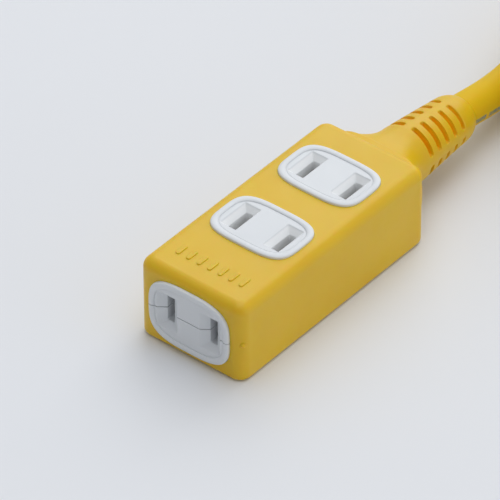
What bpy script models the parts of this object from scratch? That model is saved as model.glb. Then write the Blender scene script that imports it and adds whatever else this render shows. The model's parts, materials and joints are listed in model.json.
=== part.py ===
"""A three-outlet extension cord: the moulded tap, its cord folded in a tied hank, and its plug.

Metres. +X runs across the tap, +Y from the end outlet towards the cord, +Z up. The origin is under
the middle of the tap and its strain relief, so y values below are worked out from FRONT, the plane
of the body's front face.
"""

import math

import bmesh
import bpy
from mathutils import Matrix, Vector

OBJECT_NAME = "extension_cord"
GAP = 0.0003

# Outer body, the box with its boss and strain relief
BODY_WIDTH = 0.0307
BODY_LENGTH = 0.0680
BODY_HEIGHT = 0.0220
VERTICAL_EDGE_RADIUS = 0.0030
TOP_CORNER_RADIUS = 0.0008
TOP_EDGE_RADIUS = 0.0028
BOTTOM_EDGE_RADIUS = 0.0013
BOSS_HALF_WIDTH = 0.0130
BOSS_HALF_HEIGHT = 0.0091
BOSS_DEPTH = 0.0017
BOSS_SQUARENESS = 3.4
FLARE_END = 0.0790
FLARE_CURVE = 2.6
NECK_START_RADIUS = 0.00765
NECK_TIP_RADIUS = 0.0063
NECK_LIP_START = 0.0966
NECK_END = 0.1003
NECK_LIP_RADIUS = 0.0051
NECK_DROP = 0.9
SLOT_FIRST = 0.0805
SLOT_PITCH = 0.0034
SLOT_COUNT = 5
SLOT_WIDTH_FIRST = 0.0014
SLOT_WIDTH_LAST = 0.0011
SLOT_FLOOR_RADIUS = 0.0054
UPPER_SLOT_ANGLES = (15.0, 80.5)
LOWER_SLOT_ANGLES = (6.0, 80.5)

# Outlets
OUTLET_HALF_WIDTH = 0.0117
OUTLET_HALF_DEPTH = 0.0081
OUTLET_SQUARENESS = 3.7
END_HALF_WIDTH = 0.0118
END_HALF_HEIGHT = 0.0088
END_SQUARENESS = 3.3
RIM_WIDTH = 0.0016
RIM_PROUD = 0.0007
PLATE_PROUD = 0.0004
END_RIM_PROUD = 0.0009
END_PLATE_PROUD = 0.0005
SLOT_SPACING = 0.0127
MOUTH = (0.00455, 0.0091)
SLOT = (0.0021, 0.0069)
END_MOUTH = (0.0056, 0.0098)
END_SLOT = (0.0021, 0.0073)
MOUTH_DEPTH = 0.0016
END_MOUTH_DEPTH = 0.0015

FRONT = -0.0499
FRONT_OUTLET = FRONT + 0.0260
REAR_OUTLET = FRONT + 0.0506
END_OUTLET_HEIGHT = 0.01075
MID_HEIGHT = 0.0108
NECK_HEIGHT = 0.0114

# Core, the white insulator inside the body, in two halves
CORE_HALF_WIDTH = 0.0128
CORE_START = FRONT + 0.0058
CORE_END = FRONT + 0.0632
CORE_BOTTOM = 0.0025
CORE_TOP = 0.0193
CHANNEL = (0.0033, 0.0096)
CHANNEL_START = FRONT + 0.0034
CHAMBER_START = FRONT + 0.0546
CHAMBER_END = FRONT + 0.0616
CHANNEL_FLOOR = 0.0046
CHANNEL_CEILING = 0.0178
WIRE_HOLE = ((-0.0080, 0.0062), (0.0080, 0.0140))

# Contacts, bars and wires
BAR_THICKNESS = 0.0006
BAR_WIDTH = 0.0050
BAR_HEIGHT = 0.0052
BAR_LUG = FRONT + 0.0180
BAR_END = FRONT + 0.0592
LEAF_THICKNESS = 0.00045
LEAF_WIDTH = 0.0060
CRIMP_RADIUS = 0.0017
CRIMP_BORE = 0.0012
CRIMP_START = FRONT + 0.0552
CRIMP_LENGTH = 0.0034
CRIMP_HEIGHT = 0.0076
STRAND_RADIUS = 0.00085
WIRE_RADIUS = 0.0015
WIRE_SPACING = 0.0038
SHEATH_START = FRONT + 0.0660

# Cord
CORD_RADIUS = 0.0045
BORE_RADIUS = CORD_RADIUS + GAP
CORD_ROUTE = (
    (0.0000, FRONT + 0.1006, 0.01048),
    (0.0000, FRONT + 0.1050, 0.00988),
    (0.0000, FRONT + 0.1090, 0.00925),
    (-0.0003, FRONT + 0.1140, 0.00842),
    (-0.0010, FRONT + 0.1195, 0.00745),
)

# Hank: loops of one waisted outline, two side by side and three high. Its sides curve in between
# two round lobes, and the radius of that curve is the one that meets the lobes smoothly.
HANK_X = 0.0277
HANK_START = FRONT + 0.1150
HANK_REACH = 0.0938
HANK_WAIST = 0.0094
LOBE_RADIUS = 0.03165
LOBE_PLACE = HANK_REACH - LOBE_RADIUS
WAIST_RADIUS = (HANK_WAIST**2 + LOBE_PLACE**2 - LOBE_RADIUS**2) / (2 * (LOBE_RADIUS - HANK_WAIST))
TURN_PITCH = 0.0093
HANK_ROWS = 3
HANK_COLUMNS = 2
HANK_HEIGHT = HANK_ROWS * TURN_PITCH
HANK_MARGIN = HANK_COLUMNS * TURN_PITCH / 2
HANK_Y = HANK_START + HANK_REACH + HANK_MARGIN
HANK_EYE_START = 0.014
TIE_WIDTH = 0.0120
TIE_THICKNESS = 0.0008
WAIST_SPREAD = 0.0005
TIE_NOTCH = TIE_THICKNESS + GAP

# Plug, lying across the hank's waist on its tie; its own y runs from the cord to the blades
PLUG_TURN = -math.radians(30)
PLUG_HALF_HEIGHT = 0.0086
PLUG_HALF_WIDTH = 0.0127
PLUG_ENTRY = (HANK_X - 0.0205, HANK_Y - 0.0315, HANK_HEIGHT + TIE_NOTCH + GAP + PLUG_HALF_HEIGHT)
PLUG_RELIEF = 0.0260
PLUG_FACE = PLUG_RELIEF + 0.0300
PLUG_RELIEF_RADIUS = (0.0061, 0.0074)
PLUG_SLOTS = 4
PLUG_CORE_HALF = (0.0105, 0.0058)
PLUG_CORE_DEPTH = 0.0100
PLUG_CORE_PROUD = 0.0006
PLUG_POCKET_FLOOR = PLUG_FACE - 0.0220
PLUG_SHEATH_END = 0.0300
BLADE_THICKNESS = 0.0015
BLADE_WIDTH = 0.0063
BLADE_LENGTH = 0.0180
BLADE_TAIL = 0.0060
BLADE_HOLE_RADIUS = 0.0015
BLADE_HOLE_FROM_TIP = 0.0050
TAIL_ROUTE = (
    (HANK_X - 0.0156, HANK_Y - 0.0842, HANK_HEIGHT + 0.00485),
    (HANK_X - 0.0201, HANK_Y - 0.0802, HANK_HEIGHT + 0.00515),
    (HANK_X - 0.0234, HANK_Y - 0.0757, HANK_HEIGHT + 0.00565),
    (HANK_X - 0.0257, HANK_Y - 0.0705, HANK_HEIGHT + 0.00625),
    (HANK_X - 0.0269, HANK_Y - 0.0650, HANK_HEIGHT + 0.00690),
    (HANK_X - 0.0272, HANK_Y - 0.0590, HANK_HEIGHT + 0.00765),
    (HANK_X - 0.0268, HANK_Y - 0.0500, HANK_HEIGHT + 0.00870),
    (HANK_X - 0.0256, HANK_Y - 0.0440, HANK_HEIGHT + 0.00935),
    (HANK_X - 0.0237, HANK_Y - 0.0380, HANK_HEIGHT + 0.00980),
    (HANK_X - 0.0222, HANK_Y - 0.0345, HANK_HEIGHT + 0.00995),
    PLUG_ENTRY,
)

YELLOW = (0.80, 0.47, 0.03, 1.0)
WHITE = (0.78, 0.79, 0.80, 1.0)
BRASS = (0.70, 0.50, 0.22, 1.0)
COPPER = (0.72, 0.36, 0.20, 1.0)
BLACK = (0.02, 0.02, 0.02, 1.0)
PALE = (0.70, 0.70, 0.68, 1.0)
TIE_GREY = (0.05, 0.05, 0.06, 1.0)


def clear_scene():
    for thing in list(bpy.data.objects):
        bpy.data.objects.remove(thing, do_unlink=True)


def new_collection(name):
    made = bpy.data.collections.new(name)
    bpy.context.scene.collection.children.link(made)
    return made


def material(name, colour, roughness, metallic=0.0):
    made = bpy.data.materials.new(name)
    made.use_nodes = True
    shader = made.node_tree.nodes["Principled BSDF"]
    shader.inputs["Base Color"].default_value = colour
    shader.inputs["Roughness"].default_value = roughness
    shader.inputs["Metallic"].default_value = metallic
    return made


def part(name, mesh, finish, parent=None):
    """A named sub-part in the object's own collection."""
    made = bpy.data.objects.new(name, mesh)
    made.parent = parent
    mesh.name = name
    mesh.materials.clear()
    mesh.materials.append(finish)
    parts.objects.link(made)
    mesh.shade_smooth()
    mesh.set_sharp_from_angle(angle=math.radians(35))
    return made


def cutter(name, mesh, parent=None):
    """A helper that is only used by Booleans."""
    made = bpy.data.objects.new(name, mesh)
    made.parent = parent
    cutters.objects.link(made)
    made.hide_render = True
    made.display_type = "WIRE"
    return made


def boolean(target, tool, operation):
    change = target.modifiers.new(f"{operation}_{tool.name}", "BOOLEAN")
    change.operation = operation
    change.solver = "EXACT"
    change.object = tool


def cut(target, tool):
    boolean(target, tool, "DIFFERENCE")


def join(target, tool):
    boolean(target, tool, "UNION")


def mesh_from(bm):
    bmesh.ops.recalc_face_normals(bm, faces=bm.faces)
    mesh = bpy.data.meshes.new("shape")
    bm.to_mesh(mesh)
    bm.free()
    return mesh


def mesh_of_curve(curve, turn=None):
    """The curve's solid as a welded mesh, turned by a matrix if one is given."""
    holder = bpy.data.objects.new("curve", curve)
    cutters.objects.link(holder)
    bpy.context.view_layer.update()
    graph = bpy.context.evaluated_depsgraph_get()
    mesh = bpy.data.meshes.new_from_object(holder.evaluated_get(graph))
    bpy.data.objects.remove(holder)
    bm = bmesh.new()
    bm.from_mesh(mesh)
    bmesh.ops.remove_doubles(bm, verts=bm.verts, dist=1e-6)
    if turn:
        bm.transform(turn)
    return mesh_from(bm)


def poly_curve(outlines, dimensions, cyclic):
    curve = bpy.data.curves.new("outline", "CURVE")
    curve.dimensions = dimensions
    for outline in outlines:
        spline = curve.splines.new("POLY")
        spline.points.add(len(outline) - 1)
        for point, place in zip(spline.points, outline, strict=True):
            point.co = (*place, 0.0, 1.0) if len(place) == 2 else (*place, 1.0)
        spline.use_cyclic_u = cyclic
    return curve


def prism(outlines, low, high, axis):
    """Flat outlines made solid from low to high along Z, or along Y with the outlines in XZ."""
    curve = poly_curve(outlines, "2D", True)
    curve.fill_mode = "BOTH"
    curve.extrude = (high - low) / 2
    turn = Matrix.Translation((0, 0, (low + high) / 2))
    if axis == "Y":
        turn = Matrix.Translation((0, (low + high) / 2, 0)) @ Matrix.Rotation(math.pi / 2, 4, "X")
    return mesh_of_curve(curve, turn)


def tube_curve(points, radius, resolution):
    curve = poly_curve([points], "3D", False)
    curve.bevel_depth = radius
    curve.bevel_resolution = resolution
    curve.use_fill_caps = True
    return curve


def tube(points, radius, resolution=3):
    return mesh_of_curve(tube_curve(points, radius, resolution))


def block(low, high):
    bm = bmesh.new()
    bmesh.ops.create_cube(bm, size=1)
    size = [b - a for a, b in zip(low, high, strict=True)]
    middle = [(a + b) / 2 for a, b in zip(low, high, strict=True)]
    bm.transform(Matrix.Translation(middle) @ Matrix.Diagonal((*size, 1)))
    return mesh_from(bm)


def oval(half_width, half_height, squareness, centre=(0.0, 0.0), count=40):
    """A superellipse: squareness 2 is an ellipse, and more is nearer a rectangle."""
    power = 2 / squareness
    points = []
    for k in range(count):
        turn = 2 * math.pi * (k + 0.5) / count
        c, s = math.cos(turn), math.sin(turn)
        across = half_width * math.copysign(abs(c) ** power, c)
        up = half_height * math.copysign(abs(s) ** power, s)
        points.append((centre[0] + across, centre[1] + up))
    return points


def loft(sections):
    """A closed solid through sections, each a list of as many 3-D points, capped at both ends."""
    bm = bmesh.new()
    rings = [[bm.verts.new(point) for point in section] for section in sections]
    for near, far in zip(rings, rings[1:]):
        for k in range(len(near)):
            after = (k + 1) % len(near)
            bm.faces.new((near[k], near[after], far[after], far[k]))
    bm.faces.new(rings[0])
    bm.faces.new(rings[-1])
    return mesh_from(bm)


def neck_axis(y):
    """Height of the strain relief's centre line, which droops a little towards its tip."""
    out = max(y - FRONT - BODY_LENGTH, 0.0)
    return NECK_HEIGHT - NECK_DROP * out**2


def neck_section(y, half_width, half_height, squareness):
    return [(x, y, z) for x, z in oval(half_width, half_height, squareness, (0, neck_axis(y)))]


def relief_sections():
    """The boss, the concave flare and the tapered neck, as one run of sections."""
    boss_end = BODY_LENGTH + BOSS_DEPTH
    sections = []
    for y, inset in ((BODY_LENGTH - 0.0015, 0.0), (boss_end - 0.0007, 0.0), (boss_end, 0.0006)):
        across, up = BOSS_HALF_WIDTH - inset, BOSS_HALF_HEIGHT - inset
        sections.append(neck_section(FRONT + y, across, up, BOSS_SQUARENESS))
    flare_steps = 5
    for k in range(1, flare_steps + 1):
        y = boss_end + (FLARE_END - boss_end) * k / flare_steps
        share = (1 - k / flare_steps) ** FLARE_CURVE
        across = NECK_START_RADIUS + (BOSS_HALF_WIDTH - 0.0006 - NECK_START_RADIUS) * share
        up = NECK_START_RADIUS + (BOSS_HALF_HEIGHT - 0.0006 - NECK_START_RADIUS) * share
        squareness = 2 + (BOSS_SQUARENESS - 2) * share
        sections.append(neck_section(FRONT + y, across, up, squareness))
    for y in (0.0860, 0.0920, NECK_LIP_START):
        radius = neck_radius(y)
        sections.append(neck_section(FRONT + y, radius, radius, 2))
    lip_steps = 4
    for k in range(1, lip_steps + 1):
        share = k / lip_steps
        y = NECK_LIP_START + (NECK_END - NECK_LIP_START) * share
        radius = NECK_TIP_RADIUS + (NECK_LIP_RADIUS - NECK_TIP_RADIUS) * share**1.8
        sections.append(neck_section(FRONT + y, radius, radius, 2))
    return sections


def neck_radius(y):
    share = (y - FLARE_END) / (NECK_LIP_START - FLARE_END)
    return NECK_START_RADIUS + (NECK_TIP_RADIUS - NECK_START_RADIUS) * share


def sector(inner, outer, first, last, centre, steps=7):
    """The outline of a piece of a flat ring between two angles in degrees."""
    turns = [math.radians(first + (last - first) * k / steps) for k in range(steps + 1)]
    arc = [(r * math.cos(a), r * math.sin(a)) for r, run in ((outer, turns), (inner, turns[::-1]))
           for a in run]
    return [(centre[0] + x, centre[1] + z) for x, z in arc]


def ring_of_slots(y, width, floor_radius, centre):
    """Four cutters round the neck, leaving a bridge at each side, at the top and underneath."""
    first, last = UPPER_SLOT_ANGLES
    spans = ((first, last), (180 - last, 180 - first))
    first, last = LOWER_SLOT_ANGLES
    spans += ((-last, -first), (180 + first, 180 + last))
    outlines = [sector(floor_radius, 0.011, a, b, centre) for a, b in spans]
    return prism(outlines, y - width / 2, y + width / 2, "Y")


def round_off(bm, edges, radius, segments):
    bmesh.ops.bevel(
        bm, geom=edges, offset=radius, segments=segments, profile=0.5, affect="EDGES",
        offset_type="OFFSET",
    )


def rounded_rectangle(half_width, half_length, radius, steps=4):
    points = []
    for sign_x, sign_y, start in ((1, 1, 0), (-1, 1, 90), (-1, -1, 180), (1, -1, 270)):
        for k in range(steps + 1):
            turn = math.radians(start + 90 * k / steps)
            x = sign_x * (half_width - radius) + radius * math.cos(turn)
            points.append((x, sign_y * (half_length - radius) + radius * math.sin(turn)))
    return points


def rounded_body():
    """A block with rounded upright corners, a large round on its top edges and a small one below."""
    levels = []
    for k in range(3):
        turn = math.pi / 4 * k
        inset = BOTTOM_EDGE_RADIUS * (1 - math.sin(turn))
        levels.append((inset, BOTTOM_EDGE_RADIUS * (1 - math.cos(turn))))
    for k in range(5):
        turn = math.pi / 8 * k
        inset = TOP_EDGE_RADIUS * (1 - math.cos(turn))
        levels.append((inset, BODY_HEIGHT - TOP_EDGE_RADIUS * (1 - math.sin(turn))))
    middle = FRONT + BODY_LENGTH / 2
    sections = []
    for inset, z in levels:
        share = inset / TOP_EDGE_RADIUS
        corner = VERTICAL_EDGE_RADIUS + (TOP_CORNER_RADIUS - VERTICAL_EDGE_RADIUS) * share
        outline = rounded_rectangle(BODY_WIDTH / 2 - inset, BODY_LENGTH / 2 - inset, corner)
        sections.append([(x, middle + y, z) for x, y in outline])
    return loft(sections)


def capsule(centre_x, centre_y, half_width, half_length, steps=6):
    """A flat outline with round ends, its long side along Y."""
    points = []
    for end, start in ((1, 0.0), (-1, math.pi)):
        for k in range(steps + 1):
            turn = start + math.pi * k / steps
            straight = end * (half_length - half_width)
            x = centre_x + half_width * math.cos(turn)
            points.append((x, centre_y + straight + half_width * math.sin(turn)))
    return points


def raised_bars():
    """A plain row of round-ended bars, raised a little on the top near the front."""
    count, pitch = 7, 0.0031
    bars = [capsule((k - (count - 1) / 2) * pitch, FRONT + 0.0084, 0.0006, 0.0018)
            for k in range(count)]
    return prism(bars, BODY_HEIGHT - 0.001, BODY_HEIGHT + 0.00025, "Z")


def core_block(low_z, high_z, margin=0.0):
    return block(
        (-CORE_HALF_WIDTH - margin, CORE_START - margin, low_z - margin),
        (CORE_HALF_WIDTH + margin, CORE_END + margin, high_z + margin),
    )


def outlet_prism(y, low, high, margin=0.0):
    shape = oval(OUTLET_HALF_WIDTH + margin, OUTLET_HALF_DEPTH + margin, OUTLET_SQUARENESS, (0, y))
    return prism([shape], low, high, "Z")


def end_prism(low, high, margin=0.0):
    centre = (0, END_OUTLET_HEIGHT)
    shape = oval(END_HALF_WIDTH + margin, END_HALF_HEIGHT + margin, END_SQUARENESS, centre)
    return prism([shape], low, high, "Y")


def build_outer_body(finish):
    body = part("outer_body", rounded_body(), finish)
    join(body, cutter("relief", loft(relief_sections())))
    join(body, cutter("raised_bars", raised_bars()))
    cut(body, cutter("core_space", core_block(CORE_BOTTOM, CORE_TOP, GAP)))
    cut(body, cutter("end_space", end_prism(FRONT - 0.003, CORE_START + 0.002, GAP)))
    for name, y in (("front", FRONT_OUTLET), ("rear", REAR_OUTLET)):
        cut(body, cutter(f"{name}_space", outlet_prism(y, CORE_TOP - 0.001, 0.025, GAP)))
    bore = [(0, y, neck_axis(y)) for y in steps_between(CORE_END - 0.001, FRONT + NECK_END + 0.003, 9)]
    cut(body, cutter("bore", tube(bore, BORE_RADIUS, 4)))
    for k in range(SLOT_COUNT):
        y = FRONT + SLOT_FIRST + k * SLOT_PITCH
        share = k / (SLOT_COUNT - 1)
        width = SLOT_WIDTH_FIRST + (SLOT_WIDTH_LAST - SLOT_WIDTH_FIRST) * share
        slots = ring_of_slots(y, width, SLOT_FLOOR_RADIUS, (0, neck_axis(y)))
        cut(body, cutter(f"slots_{k}", slots))
    return body


def steps_between(first, last, count):
    return [first + (last - first) * k / (count - 1) for k in range(count)]


def mouth(centre, wide, narrow, top, depth, axis):
    """A tapered recess round a blade slot, wide at the face and narrow at the slot."""
    bm = bmesh.new()
    bmesh.ops.create_cube(bm, size=2)
    over = 0.0005
    for vert in bm.verts:
        wall = -depth if vert.co.z < 0 else over
        share = -wall / depth
        across = wide[0] + (narrow[0] - wide[0]) * share
        along = wide[1] + (narrow[1] - wide[1]) * share
        vert.co = Vector((vert.co.x * across / 2, vert.co.y * along / 2, wall))
    turn = Matrix.Rotation(math.pi / 2, 4, "X") if axis == "Y" else Matrix.Identity(4)
    place = (centre[0], top, centre[1]) if axis == "Y" else (centre[0], centre[1], top)
    bm.transform(Matrix.Translation(place) @ turn)
    return mesh_from(bm)


def cut_channels(half, name):
    """The two contact channels, the chamber behind them and the hole for the wires."""
    inner, outer = CHANNEL
    for side, low, high in (("left", -outer, -inner), ("right", inner, outer)):
        space = block((low, CHANNEL_START, CHANNEL_FLOOR), (high, CHAMBER_END, CHANNEL_CEILING))
        cut(half, cutter(f"{name}_channel_{side}", space))
    chamber = block((-0.005, CHAMBER_START, CHANNEL_FLOOR), (0.005, CHAMBER_END - 0.0002, CHANNEL_CEILING))
    cut(half, cutter(f"{name}_chamber", chamber))
    (low_x, low_z), (high_x, high_z) = WIRE_HOLE
    hole = block((low_x, CHAMBER_END - 0.001, low_z), (high_x, CORE_END + 0.001, high_z))
    cut(half, cutter(f"{name}_wire_hole", hole))


def cut_end_outlet(half, name):
    plate = FRONT - END_PLATE_PROUD
    recess = end_prism(FRONT - 0.003, plate, -RIM_WIDTH)
    cut(half, cutter(f"{name}_end_recess", recess))
    for side, x in (("left", -SLOT_SPACING / 2), ("right", SLOT_SPACING / 2)):
        funnel = mouth((x, MID_HEIGHT), END_MOUTH, END_SLOT, plate, END_MOUTH_DEPTH, "Y")
        cut(half, cutter(f"{name}_end_mouth_{side}", funnel))
        slot = block(
            (x - END_SLOT[0] / 2, plate + END_MOUTH_DEPTH - 0.0002, MID_HEIGHT - END_SLOT[1] / 2),
            (x + END_SLOT[0] / 2, CHANNEL_START + 0.0005, MID_HEIGHT + END_SLOT[1] / 2),
        )
        cut(half, cutter(f"{name}_end_slot_{side}", slot))


def build_core_top(finish):
    seam = MID_HEIGHT + GAP / 2
    top = part("core_top", core_block(seam, CORE_TOP), finish)
    join(top, cutter("top_nose", end_prism(FRONT - END_RIM_PROUD, CORE_START + 0.001)))
    crest = BODY_HEIGHT + RIM_PROUD
    plate = BODY_HEIGHT + PLATE_PROUD
    for name, y in (("front", FRONT_OUTLET), ("rear", REAR_OUTLET)):
        join(top, cutter(f"{name}_boss", outlet_prism(y, CORE_TOP - 0.001, crest)))
        cut(top, cutter(f"{name}_recess", outlet_prism(y, plate, crest + 0.002, -RIM_WIDTH)))
        for side, x in (("left", -SLOT_SPACING / 2), ("right", SLOT_SPACING / 2)):
            funnel = mouth((x, y), MOUTH, SLOT, plate, MOUTH_DEPTH, "Z")
            cut(top, cutter(f"{name}_mouth_{side}", funnel))
            slot = block(
                (x - SLOT[0] / 2, y - SLOT[1] / 2, CHANNEL_CEILING - 0.0005),
                (x + SLOT[0] / 2, y + SLOT[1] / 2, plate - MOUTH_DEPTH + 0.0002),
            )
            cut(top, cutter(f"{name}_slot_{side}", slot))
    cut_end_outlet(top, "top")
    cut_channels(top, "top")
    cut(top, cutter("below_seam", block((-0.03, FRONT - 0.01, -0.01), (0.03, FRONT + 0.09, seam))))


def build_core_base(finish):
    seam = MID_HEIGHT - GAP / 2
    base = part("core_base", core_block(CORE_BOTTOM, seam), finish)
    join(base, cutter("base_nose", end_prism(FRONT - END_RIM_PROUD, CORE_START + 0.001)))
    cut_end_outlet(base, "base")
    cut_channels(base, "base")
    cut(base, cutter("above_seam", block((-0.03, FRONT - 0.01, seam), (0.03, FRONT + 0.09, 0.03))))


def strip(profile, thickness, width, sideways):
    """A sheet-metal strip: an open profile, swept sideways by its width and thickened."""
    bm = bmesh.new()
    half = Vector(sideways) * width / 2
    near = [bm.verts.new(Vector(point) - half) for point in profile]
    far = [bm.verts.new(Vector(point) + half) for point in profile]
    for k in range(len(profile) - 1):
        bm.faces.new((near[k], near[k + 1], far[k + 1], far[k]))
    mesh = bpy.data.meshes.new("strip")
    bm.to_mesh(mesh)
    bm.free()
    return mesh, thickness


def add_strip(name, made, finish):
    mesh, thickness = made
    metal = part(name, mesh, finish)
    thicken = metal.modifiers.new("thickness", "SOLIDIFY")
    thicken.thickness = thickness
    thicken.offset = 0
    thicken.use_even_offset = True
    return metal


def spring_leaves(centre, out, across):
    """A folded U that grips a blade: out is the way its mouth opens, across the way it grips."""
    profile = ((-1.5, 10.8), (-0.75, 9.0), (-1.5, 5.0), (-1.5, 0.6), (-0.9, 0.0))
    profile += tuple((-a, b) for a, b in reversed(profile))
    place, out, across = Vector(centre), Vector(out), Vector(across)
    return [place + across * a * 0.001 + out * b * 0.001 for a, b in profile]


def build_contacts(finish):
    for side, x in (("left", -SLOT_SPACING / 2), ("right", SLOT_SPACING / 2)):
        for name, y in (("front", FRONT_OUTLET), ("rear", REAR_OUTLET)):
            leaves = spring_leaves((x, y, BAR_HEIGHT + 0.0009), (0, 0, 1), (1, 0, 0))
            contact = strip(leaves, LEAF_THICKNESS, LEAF_WIDTH, (0, 1, 0))
            add_strip(f"{name}_contact_{side}", contact, finish)
        leaves = spring_leaves((x, BAR_LUG - 0.0009, MID_HEIGHT), (0, -1, 0), (1, 0, 0))
        add_strip(f"end_contact_{side}", strip(leaves, LEAF_THICKNESS, LEAF_WIDTH, (0, 0, 1)), finish)
        bar = ((x, BAR_LUG, MID_HEIGHT + 0.003), (x, BAR_LUG, BAR_HEIGHT), (x, BAR_END, BAR_HEIGHT))
        add_strip(f"bus_bar_{side}", strip(bar, BAR_THICKNESS, BAR_WIDTH, (1, 0, 0)), finish)


def sleeve(length, outer, inner, steps=16):
    """A short tube turned about Z from a closed profile."""
    bm = bmesh.new()
    corners = ((outer, length), (outer, 0.0), (inner, 0.0), (inner, length))
    verts = [bm.verts.new((r, 0, z)) for r, z in corners]
    for k in range(4):
        bm.edges.new((verts[k], verts[(k + 1) % 4]))
    mesh = bpy.data.meshes.new("sleeve")
    bm.to_mesh(mesh)
    bm.free()
    return mesh, steps


def build_crimps(brass, copper):
    for side, x in (("left", -SLOT_SPACING / 2), ("right", SLOT_SPACING / 2)):
        mesh, steps = sleeve(CRIMP_LENGTH, CRIMP_RADIUS, CRIMP_BORE)
        crimp = part(f"crimp_{side}", mesh, brass)
        screw = crimp.modifiers.new("turn", "SCREW")
        screw.steps = steps
        screw.render_steps = steps
        screw.use_merge_vertices = True
        screw.merge_threshold = 1e-5
        crimp.rotation_euler = (-math.pi / 2, 0, 0)
        crimp.location = (x, CRIMP_START, CRIMP_HEIGHT)
        strand = [(x, CRIMP_START + 0.0002, CRIMP_HEIGHT), (x, CRIMP_START + 0.0036, CRIMP_HEIGHT)]
        part(f"wire_strands_{side}", tube(strand, STRAND_RADIUS, 2), copper)


def smooth_points(points, spacing):
    """Points every so far along a smooth curve through the given ones."""
    points = [Vector(point) for point in points]
    ends = [2 * points[0] - points[1], *points, 2 * points[-1] - points[-2]]
    fine = []
    for before, start, end, after in zip(ends, ends[1:], ends[2:], ends[3:]):
        for k in range(12):
            t = k / 12
            fine.append(
                0.5 * (2 * start + (end - before) * t
                       + (2 * before - 5 * start + 4 * end - after) * t**2
                       + (3 * start - before - 3 * end + after) * t**3)
            )
    fine.append(points[-1])
    lengths = [0.0]
    for a, b in zip(fine, fine[1:]):
        lengths.append(lengths[-1] + (b - a).length)
    count = max(2, round(lengths[-1] / spacing) + 1)
    places, k = [], 0
    for goal in steps_between(0.0, lengths[-1], count):
        while k < len(fine) - 2 and lengths[k + 1] < goal:
            k += 1
        share = (goal - lengths[k]) / (lengths[k + 1] - lengths[k])
        places.append(fine[k].lerp(fine[k + 1], min(max(share, 0.0), 1.0)))
    return places


def build_wires(finishes, sheath_finish):
    """The insulated conductors, from the crimps into the cord's sheath, and the sheath in the neck."""
    last = FRONT + NECK_END - 0.0006
    for side, sign in (("left", -1), ("right", 1)):
        start_x, spaced_x = sign * SLOT_SPACING / 2, sign * WIRE_SPACING / 2
        route = [
            (start_x, FRONT + 0.0595, CRIMP_HEIGHT),
            (sign * 0.0059, FRONT + 0.0606, CRIMP_HEIGHT + 0.0005),
            (sign * 0.0037, FRONT + 0.0620, CRIMP_HEIGHT + 0.0021),
            (sign * 0.0023, FRONT + 0.0635, NECK_HEIGHT - 0.0005),
            (spaced_x, FRONT + 0.0662, NECK_HEIGHT),
        ]
        route += [(spaced_x, y, neck_axis(y)) for y in steps_between(FRONT + 0.0700, last, 6)]
        part(f"wire_{side}", tube(smooth_points(route, 0.0025), WIRE_RADIUS, 2), finishes[side])
    line = [(0, y, neck_axis(y)) for y in steps_between(SHEATH_START, FRONT + NECK_END - 0.0002, 8)]
    sheath = part("sheath_end", tube(line, CORD_RADIUS, 4), sheath_finish)
    for side, sign in (("left", -1), ("right", 1)):
        x = sign * WIRE_SPACING / 2
        beyond = steps_between(SHEATH_START - 0.002, FRONT + NECK_END + 0.002, 8)
        bore = [(x, y, neck_axis(y)) for y in beyond]
        cut(sheath, cutter(f"wire_bore_{side}", tube(bore, WIRE_RADIUS + GAP * 0.8, 3)))


def add_tube(name, route, finish, spacing=0.018):
    """A free stretch of cord, as a curve with a round bevel."""
    curve = tube_curve([tuple(p) for p in smooth_points(route, spacing)], CORD_RADIUS, 3)
    curve.materials.append(finish)
    made = bpy.data.objects.new(name, curve)
    parts.objects.link(made)
    return made


def arc(centre, radius, first, last, steps=18):
    turns = [first + (last - first) * k / steps for k in range(steps)]
    return [Vector(centre) + Vector((math.cos(turn), math.sin(turn))) * radius for turn in turns]


def waisted(margin):
    """An outline with two round lobes and a waist between them, grown by a margin."""
    middle = HANK_WAIST + WAIST_RADIUS
    meet = math.atan2(LOBE_PLACE, middle)
    lobe, waist = LOBE_RADIUS + margin, WAIST_RADIUS - margin
    return [
        *arc((0, LOBE_PLACE), lobe, -meet, math.pi + meet, 40),
        *arc((-middle, 0), waist, meet, -meet),
        *arc((0, -LOBE_PLACE), lobe, math.pi - meet, 2 * math.pi + meet, 40),
        *arc((middle, 0), waist, math.pi + meet, math.pi - meet),
    ]


def hank_outlines():
    """The outside of the hank, and the eye of each lobe."""
    outer = [(HANK_X + p.x, HANK_Y + p.y) for p in waisted(HANK_MARGIN)]
    inner = waisted(-HANK_MARGIN)
    shapes = [outer]
    for end in (1, -1):
        eye = [p for p in inner if end * p.y > HANK_EYE_START]
        shapes.append([(HANK_X + p.x, HANK_Y + p.y) for p in eye])
    return shapes


def build_hank(finish, tie_finish):
    hank = part("cord_hank", prism(hank_outlines(), 0.0, HANK_HEIGHT, "Z"), finish)
    notch = block(
        (HANK_X - 0.05, HANK_Y - TIE_WIDTH / 2 - GAP, -0.001),
        (HANK_X + 0.05, HANK_Y + TIE_WIDTH / 2 + GAP, TIE_NOTCH),
    )
    cut(hank, cutter("tie_notch", notch))
    half = HANK_WAIST + HANK_MARGIN + WAIST_SPREAD + TIE_THICKNESS + GAP
    top = HANK_HEIGHT + GAP + TIE_THICKNESS
    low, high = HANK_Y - TIE_WIDTH / 2, HANK_Y + TIE_WIDTH / 2
    tie = part("hank_tie", block((HANK_X - half, low, 0.0), (HANK_X + half, high, top)), tie_finish)
    inside = block(
        (HANK_X - half + TIE_THICKNESS, low - 0.01, TIE_THICKNESS),
        (HANK_X + half - TIE_THICKNESS, high + 0.01, top - TIE_THICKNESS),
    )
    cut(tie, cutter("tie_inside", inside))


def plug_section(y, half_width, half_height, squareness):
    return [(x, y, z) for x, z in oval(half_width, half_height, squareness, count=32)]


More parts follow.
